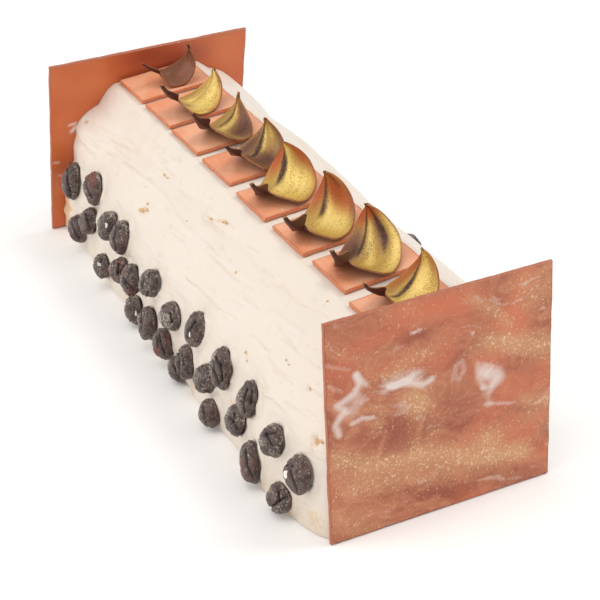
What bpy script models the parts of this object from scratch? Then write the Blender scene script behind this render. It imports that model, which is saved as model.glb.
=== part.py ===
"""Yule log cake for eight: a cream-coated roll that stands between two chocolate end plates.

Eight thin chocolate tiles lie in a row along the crest, each with a bent chocolate petal on it, and
chocolate drops are pressed into both long sides near the foot.

Frame: metres, +Z up, +X along the log, the drops' front side at -Y.  The origin is on the table,
midway between the feet of the two end plates.
"""
import math

import bmesh
import bpy
import numpy as np
from mathutils import Matrix

MM = 0.001
GAP = 0.3 * MM                  # clearance between pieces that touch on the real cake

# End plates: thin chocolate squares that lean in against the ends of the log
PLATE_SPAN = 268.6 * MM         # between the two inner faces, at the table
PLATE_THICKNESS = 1.9 * MM
NEAR_PLATE = dict(width=95.0 * MM, height=90.2 * MM, lean=math.radians(4.9))
FAR_PLATE = dict(width=98.0 * MM, height=88.2 * MM, lean=math.radians(7.9))
PLATE_EDGE = 0.3 * MM           # rounding of the moulded edges

# Cream log: each side of its section is a quarter of a superellipse, from the crest to the foot
CREST_Y = 5.5 * MM              # the crest runs a little behind the middle of the plates
CREST_DRIFT = -0.02             # and crosses towards the front side along +X
CREST_HEIGHT = 73.65 * MM
CREST_RISE = 0.085              # extra height for each metre of crest offset
FRONT_HALF_WIDTH = 54.3 * MM
FRONT_FLARE = 0.03              # the front foot spreads along +X
BACK_HALF_WIDTH = 47.0 * MM
FRONT_POWER = 2.3
BACK_POWER = 2.8
FOOT_INSET = 1.6 * MM           # the coat curls under at the table
FOOT_HEIGHT = 1.5 * MM
END_ROUNDING = 10.5 * MM        # how far the foot draws in at the near plate
END_ROUNDING_REACH = 9.5 * MM
WAVE_DEPTH = 0.9 * MM           # slow waves that the palette knife left along the front
WAVE_LENGTH = 54.0 * MM
WAVE_START = 24.0 * MM
BACK_HOLLOWS = ((-84 * MM, 14 * MM, 3.0 * MM), (25 * MM, 30 * MM, 3.0 * MM))   # place, reach, depth
BACK_FULLNESS = 1.0 * MM
LOG_STATIONS = 38
LOG_SIDE_POINTS = 12            # points on each side of the section, the crest not counted

# Tiles on the crest
TILE_LENGTH = 26.0 * MM         # along the log
TILE_WIDTH = 35.6 * MM          # across it
TILE_THICKNESS = 1.7 * MM
TILE_EDGE = 0.25 * MM
TILE_TILT = math.atan(0.085)    # they rest just in front of the crest, so they tip forward
TILES = (                       # middle of each tile: along the log, across it
    (-109.6 * MM, 1.9 * MM),
    (-80.4 * MM, 1.8 * MM),
    (-51.5 * MM, 1.3 * MM),
    (-20.2 * MM, 0.9 * MM),
    (13.4 * MM, 0.0 * MM),
    (45.2 * MM, 0.1 * MM),
    (76.8 * MM, 0.7 * MM),
    (109.5 * MM, -1.7 * MM),
)

# Petals: a leaf of chocolate bent over a rod, with a stalk, a turned-up shoulder and a point
PETAL_THICKNESS = 0.8 * MM
PETAL_STALK_BEND = 26.0 * MM    # radius of the slow bend towards the stalk
PETAL_STALK = 0.9 * MM          # half width of the stalk and of the point
PETAL_FAR_SHARE = 0.58          # far half width over near half width
PETAL_CAMBER = math.radians(-10)
SHOULDER_AT = 0.30              # share of the length where the near half starts
SHOULDER_TURN = math.radians(78)
WIDEST_AT = 0.60
LONG_STEPS = 13
CROSS_STEPS = 3                 # on each side of the midrib
PETALS = (
    # x, y, turn, roll, pitch, stalk length, point length, bend, half width, shoulder height
    (-107.0, -2.0, 1, 14, 27, 12.0, 24.0, 9.5, 9.0, 1.2),
    (-76.0, -5.0, 14, 5, 25, 17.0, 24.0, 12.0, 11.0, 2.3),
    (-47.0, -4.0, 25, -4, 23, 17.5, 23.5, 13.0, 14.0, 6.0),
    (-17.0, -4.5, 25, 1, 20, 15.5, 22.0, 10.5, 14.0, 2.0),
    (14.5, -9.0, 36, -7, 17, 17.0, 26.0, 12.5, 15.5, 3.5),
    (47.5, -9.5, 32, -7, 16, 19.5, 29.0, 13.5, 14.0, 6.0),
    (79.0, -8.0, 38, -7, 17, 20.5, 28.5, 14.0, 16.0, 4.5),
    (107.0, -7.5, 13, 3, 17, 17.5, 24.5, 11.5, 12.5, 3.0),
)

# Drops pressed into the sides: domed lentils of chocolate
DROP_THICKNESS = 7.0 * MM
DROP_BACKING = 0.22             # share of the thickness that bulges towards the cream
DROP_SEGMENTS = 10
DROP_RINGS = 5
FRONT_DROPS = (
    # along the log, height, long axis, short axis, lean of the long axis in degrees
    (-119.5, 30.5, 18.0, 11.5, -7),
    (-98.0, 36.0, 15.5, 12.5, -15),
    (-98.0, 20.5, 14.0, 12.5, 20),
    (-109.5, 11.5, 13.5, 11.5, -20),
    (-71.5, 30.5, 15.0, 12.5, 18),
    (-58.0, 31.5, 16.0, 11.0, -6),
    (-73.5, 10.5, 11.5, 12.0, -2),
    (-55.5, 17.5, 12.5, 11.5, 12),
    (-43.0, 18.5, 14.5, 12.0, -5),
    (-20.0, 29.0, 14.5, 12.5, 28),
    (-36.5, 7.6, 13.5, 10.5, -20),
    (-17.5, 11.5, 15.5, 12.5, -5),
    (1.5, 25.0, 13.0, 13.5, 0),
    (27.5, 32.5, 16.0, 12.5, 15),
    (-2.5, 10.5, 13.5, 12.0, -10),
    (22.0, 15.0, 14.5, 12.5, -11),
    (12.5, 6.6, 12.0, 11.5, 0),
    (42.5, 19.5, 13.0, 12.5, -5),
    (53.0, 29.5, 18.0, 12.0, -15),
    (79.0, 30.5, 15.5, 12.0, -4),
    (48.5, 7.0, 12.5, 11.0, -5),
    (71.5, 17.5, 13.0, 13.5, 12),
    (102.0, 27.0, 13.5, 12.5, 0),
    (89.5, 10.5, 18.0, 12.0, -19),
    (119.5, 23.0, 16.0, 12.5, -20),
    (110.0, 7.4, 12.5, 13.0, 0),
)
BACK_DROP_STEP = 2              # the back carries every second drop of the front, end for end
BACK_DROP_SHIFT = -6.0
HIGH_BACK_DROPS = ((30.0, 46.0, 13.0, 12.0, 10), (-31.0, 33.0, 13.5, 12.0, -15))


def smooth_step(value):
    """Rise from 0 to 1 with level ends."""
    value = np.clip(value, 0.0, 1.0)
    return value * value * (3.0 - 2.0 * value)


# Log -------------------------------------------------------------------------------------------

def crest_y(x):
    return CREST_Y + CREST_DRIFT * x


def crest_height(x):
    return CREST_HEIGHT + CREST_RISE * crest_y(x)


def end_inset(x):
    """How far both feet draw in towards the near plate."""
    return END_ROUNDING * math.exp(-(PLATE_SPAN / 2 - x) / END_ROUNDING_REACH)


def front_half_width(x):
    wave = WAVE_DEPTH * math.sin(2 * math.pi * (x - WAVE_START) / WAVE_LENGTH)
    return FRONT_HALF_WIDTH + FRONT_FLARE * x + wave - end_inset(x)


def back_half_width(x):
    hollow = sum(depth * math.exp(-((x - place) / reach) ** 2) for place, reach, depth in BACK_HOLLOWS)
    return BACK_HALF_WIDTH + BACK_FULLNESS - hollow - end_inset(x)


def side_y(x, z, side):
    """Y of the log's surface at a height, on the front (side -1) or the back (side +1)."""
    half, power = (front_half_width(x), FRONT_POWER) if side < 0 else (back_half_width(x), BACK_POWER)
    share = min(max(z / crest_height(x), 0.0), 1.0)
    return crest_y(x) + side * half * (1 - share ** power) ** (1 / power)


def top_z(x, y):
    """Height of the log's surface at a point of the plan."""
    side = -1 if y < crest_y(x) else 1
    half, power = (front_half_width(x), FRONT_POWER) if side < 0 else (back_half_width(x), BACK_POWER)
    share = min(abs(y - crest_y(x)) / half, 1.0)
    return crest_height(x) * (1 - share ** power) ** (1 / power)


def end_face_x(z, plate, sign):
    """X of the log's end face, which lies against a leaning plate with the clearance."""
    lean = plate["lean"]
    return sign * (PLATE_SPAN / 2 - z * math.tan(lean) - GAP / math.cos(lean))


def section(x):
    """Closed outline of the log at one station, as (y, z), from the front foot over the crest."""
    height = crest_height(x)
    steps = np.linspace(0.0, 1.0, LOG_SIDE_POINTS + 1)
    # heights gather near the crest, where the outline turns level
    heights = FOOT_HEIGHT + (height - FOOT_HEIGHT) * np.sin(steps * math.pi / 2)
    front = [(side_y(x, z, -1), z) for z in heights]
    back = [(side_y(x, z, 1), z) for z in heights[-2::-1]]
    foot_front = (front[0][0] + FOOT_INSET, 0.0)
    foot_back = (back[-1][0] - FOOT_INSET, 0.0)
    return [foot_front] + front + back + [foot_back]


def build_log():
    """Loft the sections from the far plate to the near plate and close both ends."""
    mesh = bmesh.new()
    rings = []
    for station in np.linspace(0.0, 1.0, LOG_STATIONS):
        x = (station - 0.5) * PLATE_SPAN
        ring = []
        for y, z in section(x):
            far = end_face_x(z, FAR_PLATE, -1)
            near = end_face_x(z, NEAR_PLATE, 1)
            ring.append(mesh.verts.new((far + station * (near - far), y, z)))
        rings.append(ring)
    for first, second in zip(rings, rings[1:]):
        for i in range(len(first)):
            j = (i + 1) % len(first)
            mesh.faces.new((first[i], first[j], second[j], second[i]))
    mesh.faces.new(rings[0])
    mesh.faces.new(rings[-1])
    return add_mesh("cream_log", mesh, "whipped_cream")


# Plates and tiles --------------------------------------------------------------------------------

def chocolate_sheet(name, size, edge, material):
    """A flat sheet with softly rounded edges, centred on its own origin."""
    mesh = bmesh.new()
    bmesh.ops.create_cube(mesh, size=1.0, matrix=Matrix.Diagonal((*size, 1.0)))
    piece = add_mesh(name, mesh, material)
    bevel = piece.modifiers.new("soft_edge", "BEVEL")
    bevel.width = edge
    bevel.segments = 1
    return piece


def build_plate(name, plate, sign):
    """An end plate, turned about its inner bottom edge so that it leans on the log."""
    size = (PLATE_THICKNESS, plate["width"], plate["height"])
    piece = chocolate_sheet(name, size, PLATE_EDGE, "milk_chocolate_plate")
    hinge = Matrix.Translation((sign * PLATE_SPAN / 2, 0.0, 0.0))
    lean = Matrix.Rotation(-sign * plate["lean"], 4, "Y")
    centre = Matrix.Translation((sign * PLATE_THICKNESS / 2, 0.0, plate["height"] / 2))
    piece.matrix_world = hinge @ lean @ centre
    return piece


def tile_plane_z(x):
    """Height at y = 0 of the plane under a tile: the lowest that clears the log over its width."""
    highest = -1.0
    for along in (-TILE_LENGTH / 2, 0.0, TILE_LENGTH / 2):
        for across in np.linspace(-TILE_WIDTH / 2, TILE_WIDTH / 2, 25):
            highest = max(highest, top_z(x + along, across) - across * math.tan(TILE_TILT))
    return highest + GAP


def build_tile(number, x, y):
    piece = chocolate_sheet(f"tile_{number}", (TILE_LENGTH, TILE_WIDTH, TILE_THICKNESS), TILE_EDGE,
                            "milk_chocolate_tile")
    middle = tile_plane_z(x) + y * math.tan(TILE_TILT) + TILE_THICKNESS / 2 / math.cos(TILE_TILT)
    piece.location = (x, y, middle)
    piece.rotation_euler = (TILE_TILT, 0.0, 0.0)
    return piece


# Petals ------------------------------------------------------------------------------------------

def petal_half_widths(u, near, shoulder):
    """Half widths of the far and the near side along the petal, u from stalk end to point."""
    taper = np.maximum(1 - np.clip((u - 0.55) / 0.45, 0, 1) ** 2, 0) ** 0.9
    far = PETAL_STALK + (near * PETAL_FAR_SHARE - PETAL_STALK) * smooth_step((u - 0.08) / 0.47)
    belly_part = smooth_step((u - SHOULDER_AT + 0.02) / 0.06)
    before_widest = np.clip((WIDEST_AT - u) / (WIDEST_AT - SHOULDER_AT + 0.05), 0, 1)
    belly = near * np.sqrt(1 - before_widest ** 2)
    flap = PETAL_STALK + (shoulder - PETAL_STALK) * smooth_step((u - 0.10) / (SHOULDER_AT - 0.10))
    near_side = flap * (1 - belly_part) + belly * belly_part
    return (np.maximum(far * taper, PETAL_STALK), np.maximum(near_side * taper, PETAL_STALK), belly_part)


def petal_surface(row):
    """Grid of points of a petal's upper face, resting with its lowest point at z = 0.

    The midrib is an arc: tight towards the point, slow towards the stalk.  Each half leaves the
    midrib sideways, and the near half stands up as a flap before the shoulder.
    """
    x, y, turn, roll, pitch, stalk, point, bend, near, shoulder = row
    turn, roll, pitch = (math.radians(angle) for angle in (turn, roll, pitch))
    u = np.linspace(0.0, 1.0, LONG_STEPS + 1)
    length = (-stalk + u * (stalk + point)) * MM
    radius = np.where(length >= 0, bend * MM, PETAL_STALK_BEND)
    angle = length / radius
    along = radius * np.sin(angle)
    rise = radius * (1 - np.cos(angle))
    far_width, near_width, belly_part = petal_half_widths(u, near * MM, shoulder * MM)
    v = np.linspace(-1.0, 1.0, 2 * CROSS_STEPS + 1)[None, :]
    is_near = v >= 0
    width = np.where(is_near, near_width[:, None], far_width[:, None]) * np.abs(v)
    near_slope = SHOULDER_TURN * (1 - belly_part) + PETAL_CAMBER * belly_part
    slope = np.where(is_near, near_slope[:, None], PETAL_CAMBER)
    sideways = width * np.cos(slope) * np.where(is_near, 1, -1)
    lift = width * np.sin(slope)
    along = along[:, None] - np.sin(angle)[:, None] * lift
    rise = rise[:, None] + np.cos(angle)[:, None] * lift
    along, rise = (along * math.cos(pitch) + rise * math.sin(pitch),
                   rise * math.cos(pitch) - along * math.sin(pitch))
    sideways, rise = (sideways * math.cos(roll) + rise * math.sin(roll),
                      rise * math.cos(roll) - sideways * math.sin(roll))
    px = x * MM - math.sin(turn) * along + math.cos(turn) * sideways
    py = y * MM + math.cos(turn) * along + math.sin(turn) * sideways
    return px, py, rise


def build_petal(number, row):
    px, py, pz = petal_surface(row)
    mesh = bmesh.new()
    grid = [[mesh.verts.new(point) for point in zip(*line)] for line in zip(px, py, pz)]
    for i in range(LONG_STEPS):
        for j in range(2 * CROSS_STEPS):
            mesh.faces.new((grid[i][j], grid[i][j + 1], grid[i + 1][j + 1], grid[i + 1][j]))
    piece = add_mesh(f"petal_{number}", mesh, "dark_chocolate_petal", closed=False)
    shell = piece.modifiers.new("thickness", "SOLIDIFY")
    shell.thickness = PETAL_THICKNESS
    shell.offset = -1.0
    shell.use_even_offset = False
    rest_on_tile(piece, TILES[number - 1][0])
    return piece


def rest_on_tile(piece, tile_x):
    """Raise a petal until its lowest point clears the tile below it."""
    bpy.context.view_layer.update()
    solid = piece.evaluated_get(bpy.context.evaluated_depsgraph_get()).to_mesh()
    slope = math.tan(TILE_TILT)
    lowest = min(vertex.co.z - slope * vertex.co.y for vertex in solid.vertices)
    piece.location.z = tile_plane_z(tile_x) + (TILE_THICKNESS + GAP) / math.cos(TILE_TILT) - lowest


# Drops -------------------------------------------------------------------------------------------

def drop_mesh():
    """A lentil one unit across and one unit thick: a full dome in front and a low one behind."""
    mesh = bmesh.new()
    bmesh.ops.create_uvsphere(mesh, u_segments=DROP_SEGMENTS, v_segments=DROP_RINGS, radius=0.5)
    for vertex in mesh.verts:
        depth = (1 - DROP_BACKING) if vertex.co.z > 0 else DROP_BACKING
        vertex.co.z *= 2 * depth
    data = bpy.data.meshes.new("chocolate_drop")
    mesh.to_mesh(data)
    mesh.free()
    return data


def build_drop(name, data, row, side):
    """Set a drop on the side of the log, square to the surface, with its own lean."""
    x, z, long_axis, short_axis, lean = row
    x, z, long_axis, short_axis = (value * MM for value in (x, z, long_axis, short_axis))
    step = 1.0 * MM
    surface = side_y(x, z, side)
    slope_z = (side_y(x, z + step, side) - side_y(x, z - step, side)) / (2 * step)
    slope_x = (side_y(x + step, z, side) - side_y(x - step, z, side)) / (2 * step)
    normal = np.array((-side * slope_x, side, -side * slope_z))
    normal /= np.linalg.norm(normal)
    upright = np.array((0.0, 0.0, 1.0)) - normal * normal[2]
    upright /= np.linalg.norm(upright)
    level = np.cross(upright, normal)
    turn = math.radians(lean)
    long_way = upright * math.cos(turn) - side * level * math.sin(turn)
    short_way = np.cross(long_way, normal)
    stand_off = GAP + DROP_BACKING * DROP_THICKNESS
    centre = np.array((x, surface, z)) + normal * stand_off
    frame = Matrix.Identity(4)
    columns = (short_way * short_axis, long_way * long_axis, normal * DROP_THICKNESS, centre)
    for column, vector in enumerate(columns):
        for line in range(3):
            frame[line][column] = vector[line]
    piece = bpy.data.objects.new(name, data)
    piece.matrix_world = frame
    parts_collection().objects.link(piece)
    return piece


def build_drops():
    data = drop_mesh()
    data.materials.append(chocolate("dark_chocolate_drop"))
    data.shade_smooth()
    for number, row in enumerate(FRONT_DROPS, 1):
        build_drop(f"drop_front_{number:02d}", data, row, -1)
    mirrored = [(BACK_DROP_SHIFT - x, *rest) for x, *rest in FRONT_DROPS[::BACK_DROP_STEP]]
    for number, row in enumerate(mirrored + list(HIGH_BACK_DROPS), 1):
        build_drop(f"drop_back_{number:02d}", data, row, 1)


# Scene objects -----------------------------------------------------------------------------------

MATERIALS = {
    # base colour, roughness
    "whipped_cream": ((0.86, 0.78, 0.68, 1.0), 0.62),
    "milk_chocolate_plate": ((0.46, 0.19, 0.10, 1.0), 0.32),
    "milk_chocolate_tile": ((0.52, 0.25, 0.15, 1.0), 0.40),
    "dark_chocolate_petal": ((0.42, 0.27, 0.06, 1.0), 0.38),
    "dark_chocolate_drop": ((0.055, 0.036, 0.030, 1.0), 0.45),
}


def chocolate(name):
    """The material of that name, made at its first use."""
    material = bpy.data.materials.get(name)
    if material is None:
        colour, roughness = MATERIALS[name]
        material = bpy.data.materials.new(name)
        material.use_nodes = True
        shader = material.node_tree.nodes["Principled BSDF"]
        shader.inputs["Base Color"].default_value = colour
        shader.inputs["Roughness"].default_value = roughness
        shader.inputs["Metallic"].default_value = 0.0
    return material


def parts_collection():
    name = "yule_log_cake"
    collection = bpy.data.collections.get(name)
    if collection is None:
        collection = bpy.data.collections.new(name)
        bpy.context.scene.collection.children.link(collection)
    return collection


def add_mesh(name, mesh, material, closed=True):
    """Turn a bmesh into a named object; a closed one gets its faces turned outwards."""
    if closed:
        bmesh.ops.recalc_face_normals(mesh, faces=mesh.faces)
    data = bpy.data.meshes.new(name)
    mesh.to_mesh(data)
    mesh.free()
    data.materials.append(chocolate(material))
    data.shade_smooth()
    data.set_sharp_from_angle(angle=math.radians(40))
    piece = bpy.data.objects.new(name, data)
    parts_collection().objects.link(piece)
    return piece


def main():
    for leftover in list(bpy.data.objects):
        bpy.data.objects.remove(leftover, do_unlink=True)
    build_log()
    build_plate("end_plate_near", NEAR_PLATE, 1)
    build_plate("end_plate_far", FAR_PLATE, -1)
    for number, (x, y) in enumerate(TILES, 1):
        build_tile(number, x, y)
    for number, row in enumerate(PETALS, 1):
        build_petal(number, row)
    build_drops()


main()
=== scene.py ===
"""Yule log cake, dressed: the surfaces that are seen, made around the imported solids.

A palette-knifed cream coat, two marbled chocolate end plates, eight chocolate tiles, eight petals
brushed with gold dust, chocolate drops along both sides and a few sponge crumbs.
Everything is in metres, +Z up, +X along the log; MM turns millimetres into metres.
"""
import math

import bpy
import numpy as np
from bpy.props import FloatProperty, FloatVectorProperty, PointerProperty
from bpy.types import Operator, Panel, PropertyGroup
from mathutils import Euler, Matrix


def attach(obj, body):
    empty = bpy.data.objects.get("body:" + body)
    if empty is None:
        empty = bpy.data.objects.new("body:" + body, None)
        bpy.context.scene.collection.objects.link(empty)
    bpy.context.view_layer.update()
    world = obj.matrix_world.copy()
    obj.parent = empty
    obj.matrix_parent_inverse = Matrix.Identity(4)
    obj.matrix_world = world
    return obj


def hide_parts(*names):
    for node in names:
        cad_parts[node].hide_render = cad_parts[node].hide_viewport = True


bl_info = {
    "name": "Yule Log Cake",
    "version": (1, 0, 0),
    "blender": (4, 5, 0),
    "location": "3D View > Sidebar > Cake",
    "description": "Cream coat, chocolate plates, tiles, petals and drops of a yule log cake",
    "category": "Add Mesh",
}

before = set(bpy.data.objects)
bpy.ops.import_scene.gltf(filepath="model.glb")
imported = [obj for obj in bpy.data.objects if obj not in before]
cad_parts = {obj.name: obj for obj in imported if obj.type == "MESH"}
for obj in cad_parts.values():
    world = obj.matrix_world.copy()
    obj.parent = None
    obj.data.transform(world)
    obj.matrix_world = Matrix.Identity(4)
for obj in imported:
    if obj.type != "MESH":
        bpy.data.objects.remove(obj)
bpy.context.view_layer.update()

MM = 0.001
BODY = "root"

# Driving sizes, as in the solids -------------------------------------------------------------

PLATE_SPAN = 268.6              # mm between the plates' inner faces, at the table
NEAR_LEAN = math.radians(4.9)
FAR_LEAN = math.radians(7.9)
CREST_Y = 5.5
CREST_DRIFT = -0.02
CREST_HEIGHT = 73.65
CREST_RISE = 0.085
FRONT_HALF_WIDTH = 54.3
FRONT_FLARE = 0.03
BACK_HALF_WIDTH = 48.0
FRONT_POWER = 2.3
BACK_POWER = 2.8
FOOT_HEIGHT = 1.5
FOOT_INSET = 1.6
END_ROUNDING = 10.5
END_ROUNDING_REACH = 9.5
WAVE_DEPTH = 0.9
WAVE_LENGTH = 54.0
WAVE_START = 24.0
BACK_HOLLOWS = ((-84, 14, 3.0), (25, 30, 3.0))      # place, reach, depth

# Cream coat
COAT_STATIONS = 318             # along the log
COAT_FRONT_STEPS = 185          # from the front foot to the crest
COAT_BACK_STEPS = 105           # from the crest to the back foot
COAT_FOOT_STEPS = 4             # rows of the curl at each foot
TILE_MARGIN = 19.0              # the cream stays level under the tiles this far from their middle
TILE_SHOULDER = 9.0             # and falls back to the round section over this width

# Ridges left by the palette knife on the front: points as (along the log, way up the side from the
# foot), height, and reach of the proud side.  Height above 0: the upper side stands proud.
KNIFE_RIDGES = (
    (((-121, 60), (-110, 61.5), (-100, 63.5), (-90, 66), (-75, 67.3), (-50, 67.6), (-38, 68.5)), 0.5, 7),
    (((-88, 56.5), (-80, 58), (-70, 59.3), (-60, 61.3), (-40, 61), (-15, 60), (5, 61), (16, 62)), -0.45, 5),
    (((-40, 63.7), (-30, 64.3), (-15, 66)), -0.25, 4),
    (((-31, 67.3), (-20, 69.3), (-8, 70)), -0.25, 3),
    (((-12, 68.4), (-4, 69.4), (2, 70.6), (6, 72.6), (10, 73.5), (18, 73.8)), 0.8, 5),
    (((24, 70), (28, 72.4), (32, 74), (40, 75.6)), 0.55, 4),
    (((53, 71), (65, 71.4), (76, 72.3), (82, 75), (90, 77), (97, 77.5)), 0.5, 5),
    (((58, 60), (66, 63.3), (75, 65), (85, 66.8), (94, 67.4)), -0.5, 6),
    (((0, 44), (10, 44.4), (20, 46), (28, 47.5), (35, 47.6), (42, 49), (52, 50.6)), 0.45, 5),
    (((58, 48.3), (66, 50), (75, 51), (81, 53.8)), 0.5, 4),
    (((22, 39.3), (30, 41.4), (40, 41), (57, 40), (66, 38.5), (80, 39.5), (92, 40.6)), -0.55, 6),
    (((-34, 36), (-25, 37), (-15, 38.6), (-8, 39.6)), -0.4, 5),
    (((85, 38.6), (93, 40), (104, 39.6)), 0.5, 4),
    (((-19, 60.6), (-12, 63.4)), 0.35, 2),
    (((-12, 60.6), (-4, 63.4)), 0.35, 2),
    (((8, 60.4), (18, 64.6)), 0.35, 2),
    (((-43, 44), (-36, 47.2)), 0.35, 2),
    (((-29, 48.3), (-20, 49.8)), 0.4, 2),
    (((-126, 51.5), (-111, 51)), 0.4, 3),
    (((-96, 52.2), (-83, 53.7)), 0.3, 3),
    (((-93, 38.6), (-77, 40.3)), 0.3, 3),
)
# Small pits in the coat: along, way up the side, radius
PITS = ((61.5, 42.7, 0.7), (64.5, 40.0, 0.8), (-122.5, 59.0, 1.0), (-2.0, 36.5, 0.7), (32.0, 63.0, 0.9),
        (4.5, 57.0, 0.6), (107.0, 53.0, 1.1), (103.0, 46.5, 0.6), (43.0, 60.0, 0.5), (71.5, 61.5, 0.5),
        (-38.0, 27.5, 0.7), (121.0, 38.0, 1.8))
# Sponge crumbs in the coat: along, way up the side, size
CRUMBS = ((-50.5, 49.2, 2.0), (-47.5, 50.6, 1.6), (-49.5, 52.8, 1.1), (-50.5, 67.2, 1.3), (-47.8, 67.4, 1.0),
          (-3.0, 69.4, 1.3), (5.0, 71.8, 1.2), (7.3, 73.0, 1.5), (-122.0, 59.3, 1.1), (32.5, 63.0, 1.1),
          (62.0, 42.4, 1.0), (64.2, 40.4, 0.9), (90.0, 55.3, 0.8), (92.5, 54.6, 0.7), (107.5, 52.8, 1.2),
          (120.0, 38.2, 1.6), (122.4, 38.8, 1.4), (-16.0, 61.8, 0.7), (88.5, 81.5, 0.8), (-125.0, 52.0, 0.9))
# Tan stains where the sponge shows through a thin coat: along, way up the side, reach, strength
STAINS = ((-129.0, 14.0, 6.0, 1.0), (-128.0, 6.0, 6.0, 0.9), (-88.0, 27.0, 4.0, 0.5), (-66.0, 24.0, 4.0, 0.7),
          (24.0, 3.0, 5.0, 0.6), (62.0, 19.0, 4.0, 0.5), (-50.0, 49.5, 2.5, 0.7), (3.0, 71.0, 3.0, 0.5),
          (63.0, 41.5, 2.0, 0.6), (121.0, 37.5, 3.0, 0.8), (-95.0, 24.0, 3.0, 0.5), (127.0, 8.0, 6.0, 0.5),
          (116.0, 2.0, 7.0, 0.4), (-10.0, 3.0, 4.0, 0.4))

PETAL_THICKNESS = 0.8
PETAL_STALK_BEND = 26.0
PETAL_STALK = 0.9
PETAL_FAR_SHARE = 0.58
PETAL_CAMBER = math.radians(-10)
SHOULDER_AT = 0.30
SHOULDER_TURN = math.radians(78)
WIDEST_AT = 0.60
PETAL_LONG_STEPS = 120
PETAL_CROSS_STEPS = 56
# Petals: x, y, turn, roll, pitch, stalk length, point length, bend, half width, shoulder height
PETALS = (
    (-107.0, -2.0, 1, 14, 27, 12.0, 24.0, 9.5, 9.0, 1.2),
    (-76.0, -5.0, 14, 5, 25, 17.0, 24.0, 12.0, 11.0, 2.3),
    (-47.0, -4.0, 25, -4, 23, 17.5, 23.5, 13.0, 14.0, 3.0),
    (-17.0, -4.5, 25, 1, 20, 15.5, 22.0, 10.5, 14.0, 2.0),
    (14.5, -9.0, 36, -7, 17, 17.0, 26.0, 12.5, 15.5, 3.5),
    (47.5, -9.5, 32, -7, 16, 19.5, 29.0, 13.5, 14.0, 6.0),
    (79.0, -8.0, 38, -7, 17, 20.5, 28.5, 14.0, 16.0, 4.5),
    (107.0, -7.5, 13, 3, 17, 17.5, 24.5, 11.5, 12.5, 3.0),
)

# Drops that the solids leave out, on the hidden side: along, height, long axis, short axis, lean
EXTRA_BACK_DROPS = (
    (103.0, 10.0, 13.5, 12.0, 15),
    (54.0, 19.0, 14.0, 12.0, -20),
    (16.0, 15.5, 13.5, 12.5, 25),
    (-33.0, 14.0, 14.5, 12.0, -10),
    (-74.0, 17.0, 13.5, 11.5, 20),
    (-88.0, 30.5, 14.5, 12.0, -15),
    (-92.0, 8.0, 12.5, 12.0, 0),
    (45.0, 34.5, 14.0, 12.0, 15),
    (9.5, 34.0, 13.5, 11.5, -25),
)
DROP_RINGS = 56
DROP_SEGMENTS = 84
DROP_BACKING = 0.22             # share of a drop's thickness on the cream's side of its widest line
CORNER_VIEW = np.array((596.0, 305.0, 420.0))
DROP_SINK = 0.3                 # how deep a drop is pressed in, past the solid's place


# Numbers --------------------------------------------------------------------------------------

def linear(code):
    """Scene-linear colour of an sRGB hex code: each channel below 0.04045 is divided by 12.92, the
    rest follow ((c + 0.055) / 1.055) to the power 2.4."""
    channels = [int(code[i:i + 2], 16) / 255 for i in (1, 3, 5)]
    return tuple(c / 12.92 if c <= 0.04045 else ((c + 0.055) / 1.055) ** 2.4 for c in channels)


def smooth_step(value):
    """Rise from 0 to 1 with level ends: 3t squared minus 2t cubed."""
    value = np.clip(value, 0.0, 1.0)
    return value * value * (3.0 - 2.0 * value)


def bump(value):
    """Bell curve: e to the minus value squared."""
    return np.exp(-np.square(value))


def lattice(ix, iy, seed):
    """A repeatable number from -1 to 1 for each whole-number point: the fraction of a large sine."""
    value = np.sin(ix * 127.1 + iy * 311.7 + seed * 74.7) * 43758.5453
    return 2.0 * (value - np.floor(value)) - 1.0


def noise(x, y, seed):
    """Smooth noise from -1 to 1: lattice numbers blended along x and y with an S-curve."""
    ix, iy = np.floor(x), np.floor(y)
    fx, fy = smooth_step(x - ix), smooth_step(y - iy)
    low = lattice(ix, iy, seed) * (1 - fx) + lattice(ix + 1, iy, seed) * fx
    high = lattice(ix, iy + 1, seed) * (1 - fx) + lattice(ix + 1, iy + 1, seed) * fx
    return low * (1 - fy) + high * fy


def fractal(x, y, octaves, seed):
    """Noise summed over octaves, each twice as fine and half as strong as the one before."""
    total = sum(noise(x * 2 ** k, y * 2 ** k, seed + 13 * k) / 2 ** k for k in range(octaves))
    return total / (2 - 2 ** (1 - octaves))


def unit(vectors):
    return vectors / np.maximum(np.linalg.norm(vectors, axis=-1, keepdims=True), 1e-12)


def grid_normals(points):
    """Unit normals of a grid of points: the cross product of its two directions' differences."""
    return unit(np.cross(np.gradient(points, axis=0), np.gradient(points, axis=1)))


# Meshes ---------------------------------------------------------------------------------------

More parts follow.
